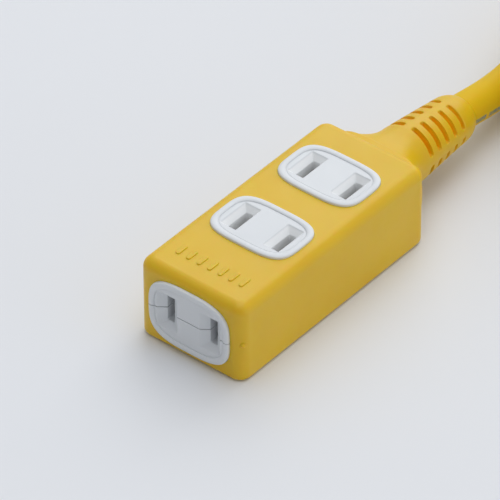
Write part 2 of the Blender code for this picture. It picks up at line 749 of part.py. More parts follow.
def build_plug(place, yellow, white, metal):
    start, end = PLUG_RELIEF_RADIUS
    width, height = PLUG_HALF_WIDTH, PLUG_HALF_HEIGHT
    sections = [
        plug_section(0.0, start - 0.0007, start - 0.0007, 2),
        plug_section(0.0010, start, start, 2),
        plug_section(PLUG_RELIEF - 0.004, end, end, 2),
        plug_section(PLUG_RELIEF, 0.0090, 0.0080, 2.6),
        plug_section(PLUG_RELIEF + 0.006, 0.0110, 0.0083, 3.4),
        plug_section(PLUG_RELIEF + 0.016, 0.0108, 0.0080, 3.6),
        plug_section(PLUG_FACE - 0.0035, 0.0121, 0.0084, 4),
        plug_section(PLUG_FACE - 0.0020, width, height, 4),
        plug_section(PLUG_FACE - 0.0006, width, height, 4),
        plug_section(PLUG_FACE, width - 0.0006, height - 0.0006, 4),
    ]
    body = part("plug_body", loft(sections), yellow, place)
    pocket = oval(PLUG_CORE_HALF[0] + GAP, PLUG_CORE_HALF[1] + GAP, 5, count=32)
    room = prism([pocket], PLUG_POCKET_FLOOR, PLUG_FACE + 0.002, "Y")
    cut(body, cutter("plug_pocket", room, place))
    bore = tube([(0, -0.002, 0), (0, PLUG_POCKET_FLOOR + 0.001, 0)], BORE_RADIUS, 4)
    cut(body, cutter("plug_bore", bore, place))
    for k in range(PLUG_SLOTS):
        slots = ring_of_slots(0.0040 + k * SLOT_PITCH, SLOT_WIDTH_LAST, SLOT_FLOOR_RADIUS, (0, 0))
        cut(body, cutter(f"plug_slots_{k}", slots, place))
    build_plug_core(place, white)
    build_blades(place, metal)


def build_plug_core(place, finish):
    shape = oval(*PLUG_CORE_HALF, 5, count=32)
    solid = prism([shape], PLUG_FACE - PLUG_CORE_DEPTH, PLUG_FACE + PLUG_CORE_PROUD, "Y")
    core = part("plug_core", solid, finish, place)
    across, up = BLADE_THICKNESS / 2 + GAP, BLADE_WIDTH / 2 + GAP
    for side, x in (("left", -SLOT_SPACING / 2), ("right", SLOT_SPACING / 2)):
        passage = block(
            (x - across, PLUG_FACE - PLUG_CORE_DEPTH - 0.002, -up),
            (x + across, PLUG_FACE + 0.003, up),
        )
        cut(core, cutter(f"blade_passage_{side}", passage, place))


def build_blades(place, finish):
    tip = PLUG_FACE + PLUG_CORE_PROUD + BLADE_LENGTH
    tail = PLUG_FACE - PLUG_CORE_DEPTH - BLADE_TAIL
    for side, x in (("left", -SLOT_SPACING / 2), ("right", SLOT_SPACING / 2)):
        bm = bmesh.new()
        bmesh.ops.create_cube(bm, size=1)
        size = Matrix.Diagonal((BLADE_THICKNESS, tip - tail, BLADE_WIDTH, 1))
        bm.transform(Matrix.Translation((x, (tip + tail) / 2, 0)) @ size)
        front = [e for e in bm.edges if all(v.co.y > tip - 1e-6 for v in e.verts)]
        round_off(bm, [e for e in front if abs(e.verts[0].co.x - e.verts[1].co.x) > 1e-4], 0.0018, 4)
        blade = part(f"plug_blade_{side}", mesh_from(bm), finish, place)
        hole_y = tip - BLADE_HOLE_FROM_TIP
        hole = tube([(x - 0.002, hole_y, 0), (x + 0.002, hole_y, 0)], BLADE_HOLE_RADIUS, 4)
        cut(blade, cutter(f"blade_hole_{side}", hole, place))


def build_plug_wiring(place, wire_finishes, sheath_finish):
    """The cord's end inside the plug: its sheath in the relief, and a wire to each blade."""
    wire_end = PLUG_FACE - PLUG_CORE_DEPTH - BLADE_TAIL - GAP
    sheath = tube([(0, 0.0009, 0), (0, PLUG_SHEATH_END, 0)], CORD_RADIUS, 4)
    part("plug_sheath_end", sheath, sheath_finish, place)
    for side, sign in (("left", -1), ("right", 1)):
        start = sign * WIRE_SPACING / 2
        route = [
            (start, PLUG_SHEATH_END + GAP, 0),
            (start, PLUG_SHEATH_END + 0.0030, 0),
            (sign * 0.0034, PLUG_SHEATH_END + 0.0060, 0),
            (sign * 0.0056, wire_end, 0),
        ]
        wire = tube(smooth_points(route, 0.002), WIRE_RADIUS, 2)
        part(f"plug_wire_{side}", wire, wire_finishes[side], place)


clear_scene()
parts = new_collection(OBJECT_NAME)
cutters = new_collection("cutters")
cutters.hide_render = True

yellow_pvc = material("yellow_pvc", YELLOW, 0.42)
cord_pvc = material("cord_pvc", YELLOW, 0.38)
white_plastic = material("white_plastic", WHITE, 0.35)
brass = material("brass", BRASS, 0.3, 1.0)
copper = material("copper", COPPER, 0.35, 1.0)
blade_metal = material("blade_metal", (0.62, 0.60, 0.56, 1.0), 0.25, 1.0)
black_wire = material("black_wire", BLACK, 0.5)
pale_wire = material("pale_wire", PALE, 0.5)
tie_strap = material("tie_strap", TIE_GREY, 0.8)
wire_colours = {"left": black_wire, "right": pale_wire}

build_outer_body(yellow_pvc)
build_core_top(white_plastic)
build_core_base(white_plastic)
build_contacts(brass)
build_crimps(brass, copper)
build_wires(wire_colours, cord_pvc)
add_tube("cord", CORD_ROUTE, cord_pvc)
build_hank(cord_pvc, tie_strap)
add_tube("cord_tail", TAIL_ROUTE, cord_pvc, 0.006)
plug_place = bpy.data.objects.new("plug_place", None)
plug_place.location = PLUG_ENTRY
plug_place.rotation_euler = (0, 0, PLUG_TURN)
parts.objects.link(plug_place)
build_plug(plug_place, yellow_pvc, white_plastic, blade_metal)
build_plug_wiring(plug_place, wire_colours, cord_pvc)
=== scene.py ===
"""The looks of a moulded extension cord: its tap, its cord in a tied hank, and its plug.

Metres. +X runs across the tap, +Y from the end outlet towards the cord, +Z up.
"""

import json
import math

import bmesh
import bpy
from mathutils import Matrix, Vector

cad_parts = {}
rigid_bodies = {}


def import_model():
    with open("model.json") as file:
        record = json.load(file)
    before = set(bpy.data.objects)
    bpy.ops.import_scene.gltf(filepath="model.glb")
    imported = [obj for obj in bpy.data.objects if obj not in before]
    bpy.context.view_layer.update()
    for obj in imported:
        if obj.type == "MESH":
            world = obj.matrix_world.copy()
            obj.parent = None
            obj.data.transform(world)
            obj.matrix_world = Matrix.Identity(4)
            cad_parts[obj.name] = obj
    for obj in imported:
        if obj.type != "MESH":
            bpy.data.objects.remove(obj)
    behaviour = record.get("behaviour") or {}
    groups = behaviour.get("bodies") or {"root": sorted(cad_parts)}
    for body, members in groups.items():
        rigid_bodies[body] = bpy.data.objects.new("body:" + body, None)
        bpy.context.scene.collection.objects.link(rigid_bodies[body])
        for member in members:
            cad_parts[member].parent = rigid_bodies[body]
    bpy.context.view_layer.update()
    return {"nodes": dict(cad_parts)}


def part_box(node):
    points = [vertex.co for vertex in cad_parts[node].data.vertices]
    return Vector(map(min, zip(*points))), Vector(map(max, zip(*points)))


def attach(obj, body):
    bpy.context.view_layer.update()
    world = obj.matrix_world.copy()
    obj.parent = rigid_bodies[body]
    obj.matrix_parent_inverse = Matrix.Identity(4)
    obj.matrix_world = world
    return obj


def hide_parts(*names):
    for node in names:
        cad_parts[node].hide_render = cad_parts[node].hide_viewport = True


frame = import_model()
nodes = frame["nodes"]

# ---------------------------------------------------------------- places, from the frame

body_low, body_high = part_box("outer_body")
hank_low, hank_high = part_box("cord_hank")
FRONT = body_low.y
HALF_WIDTH = body_high.x
HANK_CENTRE = (hank_low + hank_high) / 2

BODY_LENGTH = 0.0680
BODY_HEIGHT = 0.0220
MID_HEIGHT = 0.0108
CORE_START = FRONT + 0.0058
FRONT_OUTLET = FRONT + 0.02605
REAR_OUTLET = FRONT + 0.05065
SLOT_SPACING = 0.0127
PLATE_PROUD = 0.0004
CORD_RADIUS = 0.0045
SIDES = (("left", -1), ("right", 1))

# ---------------------------------------------------------------- mesh tools


def lerp(a, b, share):
    return a + (b - a) * share


def smoothstep(value):
    value = min(max(value, 0.0), 1.0)
    return value * value * (3 - 2 * value)


def sweep(points, value):
    """The second of each pair at a value of the first, in straight lines between the pairs."""
    for (a, low), (b, high) in zip(points, points[1:]):
        if value <= b:
            return lerp(low, high, min(max((value - a) / (b - a), 0.0), 1.0))
    return points[-1][1]


def oval(half_width, half_height, squareness, count=160):
    """A superellipse: squareness 2 is an ellipse, and more is nearer a rectangle."""
    outline = []
    for k in range(count):
        turn = 2 * math.pi * (k + 0.5) / count
        c, s = math.cos(turn), math.sin(turn)
        across = half_width * math.copysign(abs(c) ** (2 / squareness), c)
        outline.append((across, half_height * math.copysign(abs(s) ** (2 / squareness), s)))
    return outline


def rounded_rectangle(half_width, half_height, radius, steps=4):
    outline = []
    corners = ((1, 1, 0), (-1, 1, 90), (-1, -1, 180), (1, -1, 270))
    for sign_x, sign_y, start in corners:
        for k in range(steps + 1):
            turn = math.radians(start + 90 * k / steps)
            x = sign_x * (half_width - radius) + radius * math.cos(turn)
            outline.append((x, sign_y * (half_height - radius) + radius * math.sin(turn)))
    return outline


def join_rings(bm, near, far):
    for k in range(len(near)):
        after = (k + 1) % len(near)
        bm.faces.new((near[k], near[after], far[after], far[k]))


def skin(bm, rings, capped=True):
    """Quads through rings of points, each with as many, and a cap at each end unless told otherwise."""
    made = [[bm.verts.new(point) for point in ring] for ring in rings]
    for near, far in zip(made, made[1:]):
        join_rings(bm, near, far)
    if capped:
        bm.faces.new(made[0])
        bm.faces.new(made[-1])
    return made


def to_mesh(bm):
    bmesh.ops.recalc_face_normals(bm, faces=bm.faces)
    mesh = bpy.data.meshes.new("shape")
    bm.to_mesh(mesh)
    bm.free()
    return mesh


def solid(rings, place=Matrix.Identity(4)):
    bm = bmesh.new()
    skin(bm, rings)
    bm.transform(place)
    return to_mesh(bm)


def block(low, high):
    bm = bmesh.new()
    bmesh.ops.create_cube(bm, size=1)
    size = [b - a for a, b in zip(low, high)]
    middle = [(a + b) / 2 for a, b in zip(low, high)]
    bm.transform(Matrix.Translation(middle) @ Matrix.Diagonal((*size, 1)))
    return to_mesh(bm)


def combine(mesh, tools, operation):
    """The mesh with every tool joined to it or cut from it."""
    drawer = bpy.data.collections.new("tools")
    bpy.context.scene.collection.children.link(drawer)
    target = bpy.data.objects.new("target", mesh)
    bpy.context.scene.collection.objects.link(target)
    for tool in tools:
        drawer.objects.link(bpy.data.objects.new("tool", tool))
    change = target.modifiers.new("combine", "BOOLEAN")
    change.operation = operation
    change.solver = "EXACT"
    change.operand_type = "COLLECTION"
    change.collection = drawer
    graph = bpy.context.evaluated_depsgraph_get()
    made = bpy.data.meshes.new_from_object(target.evaluated_get(graph))
    for thing in [target, *drawer.objects]:
        bpy.data.objects.remove(thing)
    bpy.data.collections.remove(drawer)
    return made


def piece(name, mesh, material, replaces=(), sharp=35):
    """A finished piece of the object, with smooth shading between its sharp edges."""
    made = bpy.data.objects.new(name, mesh)
    bpy.context.scene.collection.objects.link(made)
    mesh.name = name
    mesh.materials.clear()
    mesh.materials.append(material)
    mesh.shade_smooth()
    mesh.set_sharp_from_angle(angle=math.radians(sharp))
    normals = made.modifiers.new("normals", "WEIGHTED_NORMAL")
    normals.keep_sharp = True
    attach(made, "root")
    if replaces:
        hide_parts(*replaces)
    return made


# ---------------------------------------------------------------- materials


class Surface:
    """A Principled material and the nodes that feed it."""

    def __init__(self, name, roughness, metallic=0.0, **values):
        self.material = bpy.data.materials.new(name)
        self.material.use_nodes = True
        self.tree = self.material.node_tree
        self.shader = self.tree.nodes["Principled BSDF"]
        self.shader.inputs["Roughness"].default_value = roughness
        self.shader.inputs["Metallic"].default_value = metallic
        for socket, value in values.items():
            self.shader.inputs[socket.replace("_", " ")].default_value = value
        self.place = self.node("ShaderNodeTexCoord").outputs["Object"]

    def node(self, kind, **settings):
        made = self.tree.nodes.new(kind)
        for name, value in settings.items():
            setattr(made, name, value)
        return made

    def link(self, output, target):
        self.tree.links.new(output, target)

    def noise(self, scale, detail=2.0, stretch=None):
        """Noise by place on the object; stretch scales it along each axis."""
        made = self.node("ShaderNodeTexNoise")
        made.inputs["Scale"].default_value = scale
        made.inputs["Detail"].default_value = detail
        place = self.place
        if stretch:
            mapping = self.node("ShaderNodeMapping")
            mapping.inputs["Scale"].default_value = stretch
            self.link(place, mapping.inputs["Vector"])
            place = mapping.outputs["Vector"]
        self.link(place, made.inputs["Vector"])
        return made.outputs["Fac"]

    def remap(self, value, low, high, start=0.35, end=0.65):
        made = self.node("ShaderNodeMapRange")
        for name, number in (("From Min", start), ("From Max", end), ("To Min", low), ("To Max", high)):
            made.inputs[name].default_value = number
        self.link(value, made.inputs["Value"])
        return made.outputs["Result"]

    def mix(self, share, first, second):
        """A colour between two; each is a colour or another node's output."""
        made = self.node("ShaderNodeMix", data_type="RGBA")
        for slot, colour in ((6, first), (7, second)):
            if hasattr(colour, "links"):
                self.link(colour, made.inputs[slot])
            else:
                made.inputs[slot].default_value = colour
        self.link(share, made.inputs[0])
        return made.outputs[2]

    def colour(self, output):
        self.link(output, self.shader.inputs["Base Color"])

    def roughness(self, output):
        self.link(output, self.shader.inputs["Roughness"])

    def bump(self, *layers):
        """Bumps of (height output, height in metres), one over another."""
        normal = None
        for output, height in layers:
            made = self.node("ShaderNodeBump")
            made.inputs["Strength"].default_value = 1.0
            made.inputs["Distance"].default_value = height
            self.link(output, made.inputs["Height"])
            if normal:
                self.link(normal, made.inputs["Normal"])
            normal = made.outputs["Normal"]
        self.link(normal, self.shader.inputs["Normal"])


YELLOW = (0.76, 0.49, 0.009, 1)
YELLOW_DEEP = (0.73, 0.46, 0.006, 1)
YELLOW_IN_SLOTS = (0.90, 0.52, 0.004, 1)
NECK_HEIGHT = 0.0114
NECK_DROP = 0.9
FLARE_END = 0.0790
LIP_START = 0.0966
NECK_START_RADIUS = 0.00765
NECK_TIP_RADIUS = 0.0063
NECK_TAPER = (NECK_START_RADIUS - NECK_TIP_RADIUS) / (LIP_START - FLARE_END)
SLOT_TINT_FULL = 0.0008
SLOT_TINT_START = 0.00025
SLOT_TINT_END = (0.0273, 0.0279)
RECESS_TINT_DEPTHS = (0.0004, 0.00008)
RECESS_TINT_REACH = (0.0080, 0.0120)
WHITE = (0.73, 0.75, 0.77, 1)
WHITE_UNEVEN = (0.71, 0.73, 0.752, 1)
WHITE_IN_RECESSES = (0.90, 0.91, 0.915, 1)
PRINT = (0.13, 0.22, 0.24, 1)
PRINT_DASH = 0.0052
PRINT_GAP = 0.0012
PRINT_PLACE = 0.965
PRINT_HALF_HEIGHT = 0.026


def vinyl(name, roughness, gloss):
    """Soft moulded vinyl: slightly uneven yellow, a fine grain and a faint waviness."""
    made = Surface(name, roughness, IOR=1.5, Specular_IOR_Level=gloss)
    made.shader.inputs["Subsurface Weight"].default_value = 0.5
    made.shader.inputs["Subsurface Radius"].default_value = (1.0, 0.35, 0.02)
    made.shader.inputs["Subsurface Scale"].default_value = 0.0013
    colour = made.mix(made.remap(made.noise(45, 3), 0, 1), YELLOW, YELLOW_DEEP)
    made.roughness(made.remap(made.noise(160, 3), roughness - 0.04, roughness + 0.04))
    made.bump((made.noise(2600, 2), 0.000012), (made.noise(260, 2), 0.00003))
    return made, colour


def arithmetic(made, operation, *values):
    """A maths node; each value is a number or another node's output."""
    step = made.node("ShaderNodeMath", operation=operation)
    for socket, value in zip(step.inputs, values):
        if hasattr(value, "links"):
            made.link(value, socket)
        else:
            socket.default_value = value
    return step.outputs["Value"]


def cord_printing(made):
    """A line of plain dashes printed along one side of the cord, worn a little thin."""
    place = made.node("ShaderNodeSeparateXYZ")
    made.link(made.node("ShaderNodeTexCoord").outputs["UV"], place.inputs["Vector"])
    stripe = arithmetic(made, "COMPARE", place.outputs["X"], PRINT_PLACE, PRINT_HALF_HEIGHT)
    repeat = arithmetic(made, "MODULO", place.outputs["Y"], PRINT_DASH + PRINT_GAP)
    dash = arithmetic(made, "LESS_THAN", repeat, PRINT_DASH)
    worn = made.remap(made.noise(1900, 2), 0.45, 0.95)
    return arithmetic(made, "MULTIPLY", arithmetic(made, "MULTIPLY", stripe, dash), worn)


def down_in_slots(made):
    """1 down in the neck's cross slots, and 0 on the outside of the neck, which tapers."""
    place = made.node("ShaderNodeSeparateXYZ")
    made.link(made.place, place.inputs["Vector"])
    along = arithmetic(made, "SUBTRACT", place.outputs["Y"], FRONT + BODY_LENGTH)
    drop = arithmetic(made, "MULTIPLY", arithmetic(made, "MULTIPLY", along, along), NECK_DROP)
    above = arithmetic(made, "ADD", place.outputs["Z"], drop)
    above = arithmetic(made, "SUBTRACT", above, NECK_HEIGHT)
    across = arithmetic(made, "MULTIPLY", place.outputs["X"], place.outputs["X"])
    reach = arithmetic(made, "SQRT", arithmetic(made, "MULTIPLY_ADD", above, above, across))
    tapered = arithmetic(made, "MULTIPLY_ADD", along, NECK_TAPER, reach)
    outside = NECK_START_RADIUS + NECK_TAPER * (FLARE_END - BODY_LENGTH)
    deep = made.remap(tapered, 1, 0, outside - SLOT_TINT_FULL, outside - SLOT_TINT_START)
    before_lip = made.remap(along, 1, 0, *SLOT_TINT_END)
    return arithmetic(made, "MULTIPLY", deep, before_lip)


def moulded_vinyl():
    made, colour = vinyl("tap_vinyl", 0.42, 0.45)
    made.colour(colour)
    return made.material


def slotted_vinyl():
    """The same vinyl, painted a brighter orange in the cross slots so that they look as lit."""
    made, colour = vinyl("neck_vinyl", 0.42, 0.45)
    made.colour(made.mix(down_in_slots(made), colour, YELLOW_IN_SLOTS))
    return made.material


def printed_vinyl():
    made, colour = vinyl("cord_vinyl", 0.55, 0.15)
    made.colour(made.mix(cord_printing(made), colour, PRINT))
    return made.material


def inside_top_outlets(made):
    """1 down in the recesses of the two top outlets, and 0 everywhere else."""
    place = made.node("ShaderNodeSeparateXYZ")
    made.link(made.place, place.inputs["Vector"])
    deepest, shallowest = (BODY_HEIGHT + PLATE_PROUD - depth for depth in RECESS_TINT_DEPTHS)
    start, full = (FRONT + reach for reach in RECESS_TINT_REACH)
    below = made.remap(place.outputs["Z"], 1, 0, deepest, shallowest)
    behind = made.remap(place.outputs["Y"], 0, 1, start, full)
    return arithmetic(made, "MULTIPLY", below, behind)


def white_plastic(name):
    """Satin white plastic, painted paler in the recesses of the top outlets so that they look as lit."""
    made = Surface(name, 0.38, IOR=1.5)
    made.shader.inputs["Subsurface Weight"].default_value = 0.15
    made.shader.inputs["Subsurface Radius"].default_value = (1.0, 0.97, 0.94)
    made.shader.inputs["Subsurface Scale"].default_value = 0.0006
    colour = made.mix(made.remap(made.noise(60, 3), 0, 1), WHITE, WHITE_UNEVEN)
    made.colour(made.mix(inside_top_outlets(made), colour, WHITE_IN_RECESSES))
    made.roughness(made.remap(made.noise(220, 3), 0.33, 0.43))
    made.bump((made.noise(3200, 2), 0.000006))
    return made.material


def sheet_metal(name, colour, worn, polish):
    """Stamped metal, with a fine grain drawn out along Z and a duller, darker patch here and there."""
    made = Surface(name, polish, metallic=1.0)
    made.colour(made.mix(made.remap(made.noise(400, 4), 0, 1), colour, worn))
    grain = made.noise(900, 3, stretch=(1, 1, 0.08))
    made.roughness(made.remap(grain, polish - 0.08, polish + 0.14))
    made.bump((grain, 0.000006))
    return made.material


def wire_cover(name, colour, worn):
    """The thin, slightly waxy insulation of one conductor."""
    made = Surface(name, 0.45, IOR=1.48)
    made.colour(made.mix(made.remap(made.noise(500, 3), 0, 1), colour, worn))
    made.roughness(made.remap(made.noise(800, 2), 0.38, 0.52))
    made.bump((made.noise(2200, 2), 0.00001))
    return made.material


def copper_strands():
    made = Surface("copper_strands", 0.3, metallic=1.0)
    made.colour(made.mix(made.noise(700, 3), (0.80, 0.42, 0.26, 1), (0.62, 0.28, 0.16, 1)))
    lay = made.node("ShaderNodeTexWave", bands_direction="DIAGONAL")
    lay.inputs["Scale"].default_value = 900
    made.link(made.place, lay.inputs["Vector"])
    made.roughness(made.remap(lay.outputs["Fac"], 0.25, 0.45, 0, 1))
    made.bump((lay.outputs["Fac"], 0.00006))
    return made.material


def woven_strap():
    """Black hook-and-loop tape, its pile of tiny loops as a bump."""
    made = Surface("woven_strap", 0.85, Sheen_Weight=0.3, Sheen_Roughness=0.4)
    loops = made.node("ShaderNodeTexVoronoi", feature="F1")
    loops.inputs["Scale"].default_value = 1500
    made.link(made.place, loops.inputs["Vector"])
    made.colour(made.mix(made.remap(loops.outputs["Distance"], 0, 1, 0, 0.6),
                         (0.035, 0.036, 0.042, 1), (0.010, 0.010, 0.013, 1)))
    made.roughness(made.remap(made.noise(300, 3), 0.78, 0.92))
    made.bump((loops.outputs["Distance"], 0.00022), (made.noise(180, 3), 0.00008))
    return made.material


tap_vinyl = moulded_vinyl()
neck_vinyl = slotted_vinyl()
cord_vinyl = printed_vinyl()
insert_plastic = white_plastic("insert_plastic")
brass = sheet_metal("sheet_brass", (0.76, 0.55, 0.26, 1), (0.60, 0.41, 0.18, 1), 0.28)
nickel = sheet_metal("nickel_blade", (0.74, 0.73, 0.70, 1), (0.69, 0.68, 0.65, 1), 0.27)
copper = copper_strands()
black_cover = wire_cover("black_cover", (0.018, 0.018, 0.019, 1), (0.03, 0.03, 0.032, 1))
pale_cover = wire_cover("pale_cover", (0.74, 0.74, 0.71, 1), (0.66, 0.66, 0.62, 1))
strap = woven_strap()

# ---------------------------------------------------------------- camera

CAMERA_AZIMUTH = math.radians(39.49)
CAMERA_ELEVATION = math.radians(39.21)
CAMERA_ROLL = math.radians(-0.24)
CAMERA_DISTANCE = 1.3
CAMERA_TARGET = Vector((-0.0065, -0.02035, 0.0100))
CAMERA_LENS = 404.3


def add_camera():
    a, e, roll = CAMERA_AZIMUTH, CAMERA_ELEVATION, CAMERA_ROLL
    back = Vector((math.sin(a) * math.cos(e), -math.cos(a) * math.cos(e), math.sin(e)))
    level = Vector((math.cos(a), math.sin(a), 0))
    upright = back.cross(level)
    right = level * math.cos(roll) + upright * math.sin(roll)
    up = back.cross(right)
    camera = bpy.data.objects.new("camera", bpy.data.cameras.new("camera"))
    camera.data.lens = CAMERA_LENS
    camera.data.clip_start = 0.01
    camera.data.clip_end = 20
    turn = Matrix((right, up, back)).transposed().to_4x4()
    camera.matrix_world = Matrix.Translation(CAMERA_TARGET + back * CAMERA_DISTANCE) @ turn
    bpy.context.scene.collection.objects.link(camera)
    bpy.context.scene.camera = camera


add_camera()

# ---------------------------------------------------------------- cord

LEAD_ROUTE = (
    (0.0000, FRONT + 0.1002, 0.01054),
    (0.0000, FRONT + 0.1025, 0.01024),
    (0.0000, FRONT + 0.1050, 0.00988),
    (0.0000, FRONT + 0.1090, 0.00925),
    (-0.0003, FRONT + 0.1140, 0.00842),
    (-0.0010, FRONT + 0.1195, 0.00745),
    (-0.0023, FRONT + 0.1255, 0.00625),
    (-0.0039, FRONT + 0.1315, 0.00530),
    (-0.0055, FRONT + 0.1375, 0.00468),
    (-0.0069, FRONT + 0.1435, 0.00450),
    (-0.0080, FRONT + 0.1495, 0.00450),
    (-0.0085, FRONT + 0.1540, 0.00450),
)
HANK_REACH = 0.0938
HANK_WAIST = 0.0094
LOBE_RADIUS = 0.03165
LOBE_PLACE = HANK_REACH - LOBE_RADIUS
WAIST_RADIUS = (HANK_WAIST**2 + LOBE_PLACE**2 - LOBE_RADIUS**2) / (2 * (LOBE_RADIUS - HANK_WAIST))
TURN_PITCH = 0.0093
TURN_ROWS = (0, 0, 1, 1, 2, 2, 3)
TURN_COLUMNS = (1, -1, -1, 1, 1, -1, -1)
CHANGE_LENGTH = 0.17
CHANGE_STARTS = (0.83, 0.796, 0.762, 0.728, 0.694, 0.66)
LAST_TURN = 0.9355
TIE_LIFT = 0.0011
TIE_SQUEEZE = 0.0003
TIE_REACH = 0.018
CORD_STEP = 0.0025
CORD_SIDES = 28
JOIN_POINTS = 4
JOIN_ROUNDS = 5
PLUG_TURN = -math.radians(30)
PLUG_ENTRY = Vector((HANK_CENTRE.x - 0.0205, HANK_CENTRE.y - 0.0315, 0.0379))
TAIL_ROUTE = (
    (HANK_CENTRE.x - 0.0156, HANK_CENTRE.y - 0.0842, 0.03275),
    (HANK_CENTRE.x - 0.0201, HANK_CENTRE.y - 0.0802, 0.03305),
    (HANK_CENTRE.x - 0.0234, HANK_CENTRE.y - 0.0757, 0.03355),
    (HANK_CENTRE.x - 0.0257, HANK_CENTRE.y - 0.0705, 0.03415),
    (HANK_CENTRE.x - 0.0269, HANK_CENTRE.y - 0.0650, 0.03480),
    (HANK_CENTRE.x - 0.0272, HANK_CENTRE.y - 0.0590, 0.03555),
    (HANK_CENTRE.x - 0.0268, HANK_CENTRE.y - 0.0500, 0.03660),
    (HANK_CENTRE.x - 0.0256, HANK_CENTRE.y - 0.0440, 0.03725),
    (HANK_CENTRE.x - 0.0237, HANK_CENTRE.y - 0.0380, 0.03770),
    (HANK_CENTRE.x - 0.0222, HANK_CENTRE.y - 0.0345, 0.03785),
    tuple(PLUG_ENTRY),
)


def arc(centre, radius, first, last, steps=90):
    turns = [first + (last - first) * k / steps for k in range(steps)]
    return [Vector((*centre, 0)) + Vector((math.cos(turn), math.sin(turn), 0)) * radius for turn in turns]


def waisted_outline():
    """Two round lobes and a waist between them, clockwise from above from the near lobe's left side."""
    middle = HANK_WAIST + WAIST_RADIUS
    meet = math.atan2(LOBE_PLACE, middle)
    return [
        *arc((0, -LOBE_PLACE), LOBE_RADIUS, math.pi, math.pi - meet),
        *arc((-middle, 0), WAIST_RADIUS, -meet, meet),
        *arc((0, LOBE_PLACE), LOBE_RADIUS, math.pi + meet, -meet, 200),
        *arc((middle, 0), WAIST_RADIUS, math.pi - meet, math.pi + meet),
        *arc((0, -LOBE_PLACE), LOBE_RADIUS, meet, -math.pi),
    ]


def evenly(points, spacing, closed=False):
    """Points every so far along a line through the given ones."""
    points = [*points, points[0]] if closed else list(points)
    along = [0.0]
    for a, b in zip(points, points[1:]):
        along.append(along[-1] + (b - a).length)
    count = max(2, round(along[-1] / spacing) + 1)
    places, k = [], 0
    for step in range(count):
        goal = along[-1] * step / (count - 1)
        while k < len(points) - 2 and along[k + 1] < goal:
            k += 1
        share = (goal - along[k]) / max(along[k + 1] - along[k], 1e-9)
        places.append(points[k].lerp(points[k + 1], min(max(share, 0.0), 1.0)))
    return places[:-1] if closed else places


def smooth_curve(points, steps=12):
    """A smooth line through given points."""
    points = [Vector(point) for point in points]
    ends = [2 * points[0] - points[1], *points, 2 * points[-1] - points[-2]]
    line = []
    for before, start, end, after in zip(ends, ends[1:], ends[2:], ends[3:]):
        for k in range(steps):
            t = k / steps
            line.append(
                0.5 * (2 * start + (end - before) * t
                       + (2 * before - 5 * start + 4 * end - after) * t**2
                       + (3 * start - before - 3 * end + after) * t**3)
            )
    return [*line, points[-1]]


def hank_line():
    """Six turns round the waisted outline, from where the lead joins it to where the tail leaves it.

    Each turn ends by moving across to the other column, or up to the next row, and the upper turns
    move first, so that each has room to go.
    """
    outline = evenly(waisted_outline(), CORD_STEP, closed=True)
    count = len(outline)
    line = []
    for turn, start in enumerate(CHANGE_STARTS):
        for step, place in enumerate(outline):
            ahead = (outline[(step + 1) % count] - outline[step - 1]).normalized()
            outward = Vector((-ahead.y, ahead.x, 0))
            share = smoothstep((step / count - start) / CHANGE_LENGTH)
            column = lerp(TURN_COLUMNS[turn], TURN_COLUMNS[turn + 1], share)
            row = lerp(TURN_ROWS[turn], TURN_ROWS[turn + 1], share)
            near_tie = math.exp(-((place.y / TIE_REACH) ** 2))
            height = CORD_RADIUS + row * (TURN_PITCH - TIE_SQUEEZE * near_tie) + TIE_LIFT * near_tie
            place = place + outward * column * TURN_PITCH / 2
            line.append(Vector((HANK_CENTRE.x + place.x, HANK_CENTRE.y + place.y, height)))
    return line[: len(line) - round(count * (1 - LAST_TURN))]


def relaxed(line, join):
    """The line with a few points on each side of a join evened out."""
    line = [point.copy() for point in line]
    first, last = join - JOIN_POINTS, join + JOIN_POINTS
    for _ in range(JOIN_ROUNDS):
        neighbours = zip(line[first - 1:], line[first:last], line[first + 1:])
        line[first:last] = [(a + 2 * b + c) / 4 for a, b, c in neighbours]
    return line


def cord_centreline():
    lead = evenly(smooth_curve(LEAD_ROUTE), CORD_STEP)
    tail = evenly(smooth_curve(TAIL_ROUTE), CORD_STEP)
    line = lead + hank_line()[1:-1] + tail
    line = relaxed(line, len(lead))
    line = relaxed(line, len(line) - len(tail))
    return evenly(line, CORD_STEP)


def tube_along(line, radius, sides):
    """A round tube with UVs: round it in turns, and along it in metres."""
    bm = bmesh.new()
    uv = bm.loops.layers.uv.new("UVMap")
    rings, places, along = [], [], 0.0
    side = Vector((1, 0, 0))
    for k, point in enumerate(line):
        ahead = (line[min(k + 1, len(line) - 1)] - line[max(k - 1, 0)]).normalized()
        side = (side - ahead * side.dot(ahead)).normalized()
        up = side.cross(ahead)
        along += (point - line[k - 1]).length if k else 0.0
        places.append(along)
        ring = []
        for j in range(sides):
            turn = 2 * math.pi * j / sides
            ring.append(bm.verts.new(point + (side * math.cos(turn) + up * math.sin(turn)) * radius))
        rings.append(ring)
    for k in range(len(rings) - 1):
        for j in range(sides):
            after = (j + 1) % sides
            face = bm.faces.new((rings[k][j], rings[k][after], rings[k + 1][after], rings[k + 1][j]))
            corners = ((j, k), (j + 1, k), (j + 1, k + 1), (j, k + 1))
            for loop, (around, station) in zip(face.loops, corners):
                loop[uv].uv = (around / sides, places[station])
    bm.faces.new(rings[0])
    bm.faces.new(rings[-1])
    return to_mesh(bm)


def add_cord():
    line = cord_centreline()
    mesh = tube_along(line, CORD_RADIUS, CORD_SIDES)
    made = piece("free_cord", mesh, cord_vinyl, ("cord", "cord_hank", "cord_tail"))
    return made, [tuple(point) for point in line]


free_cord, cord_path = add_cord()

# ---------------------------------------------------------------- strain reliefs

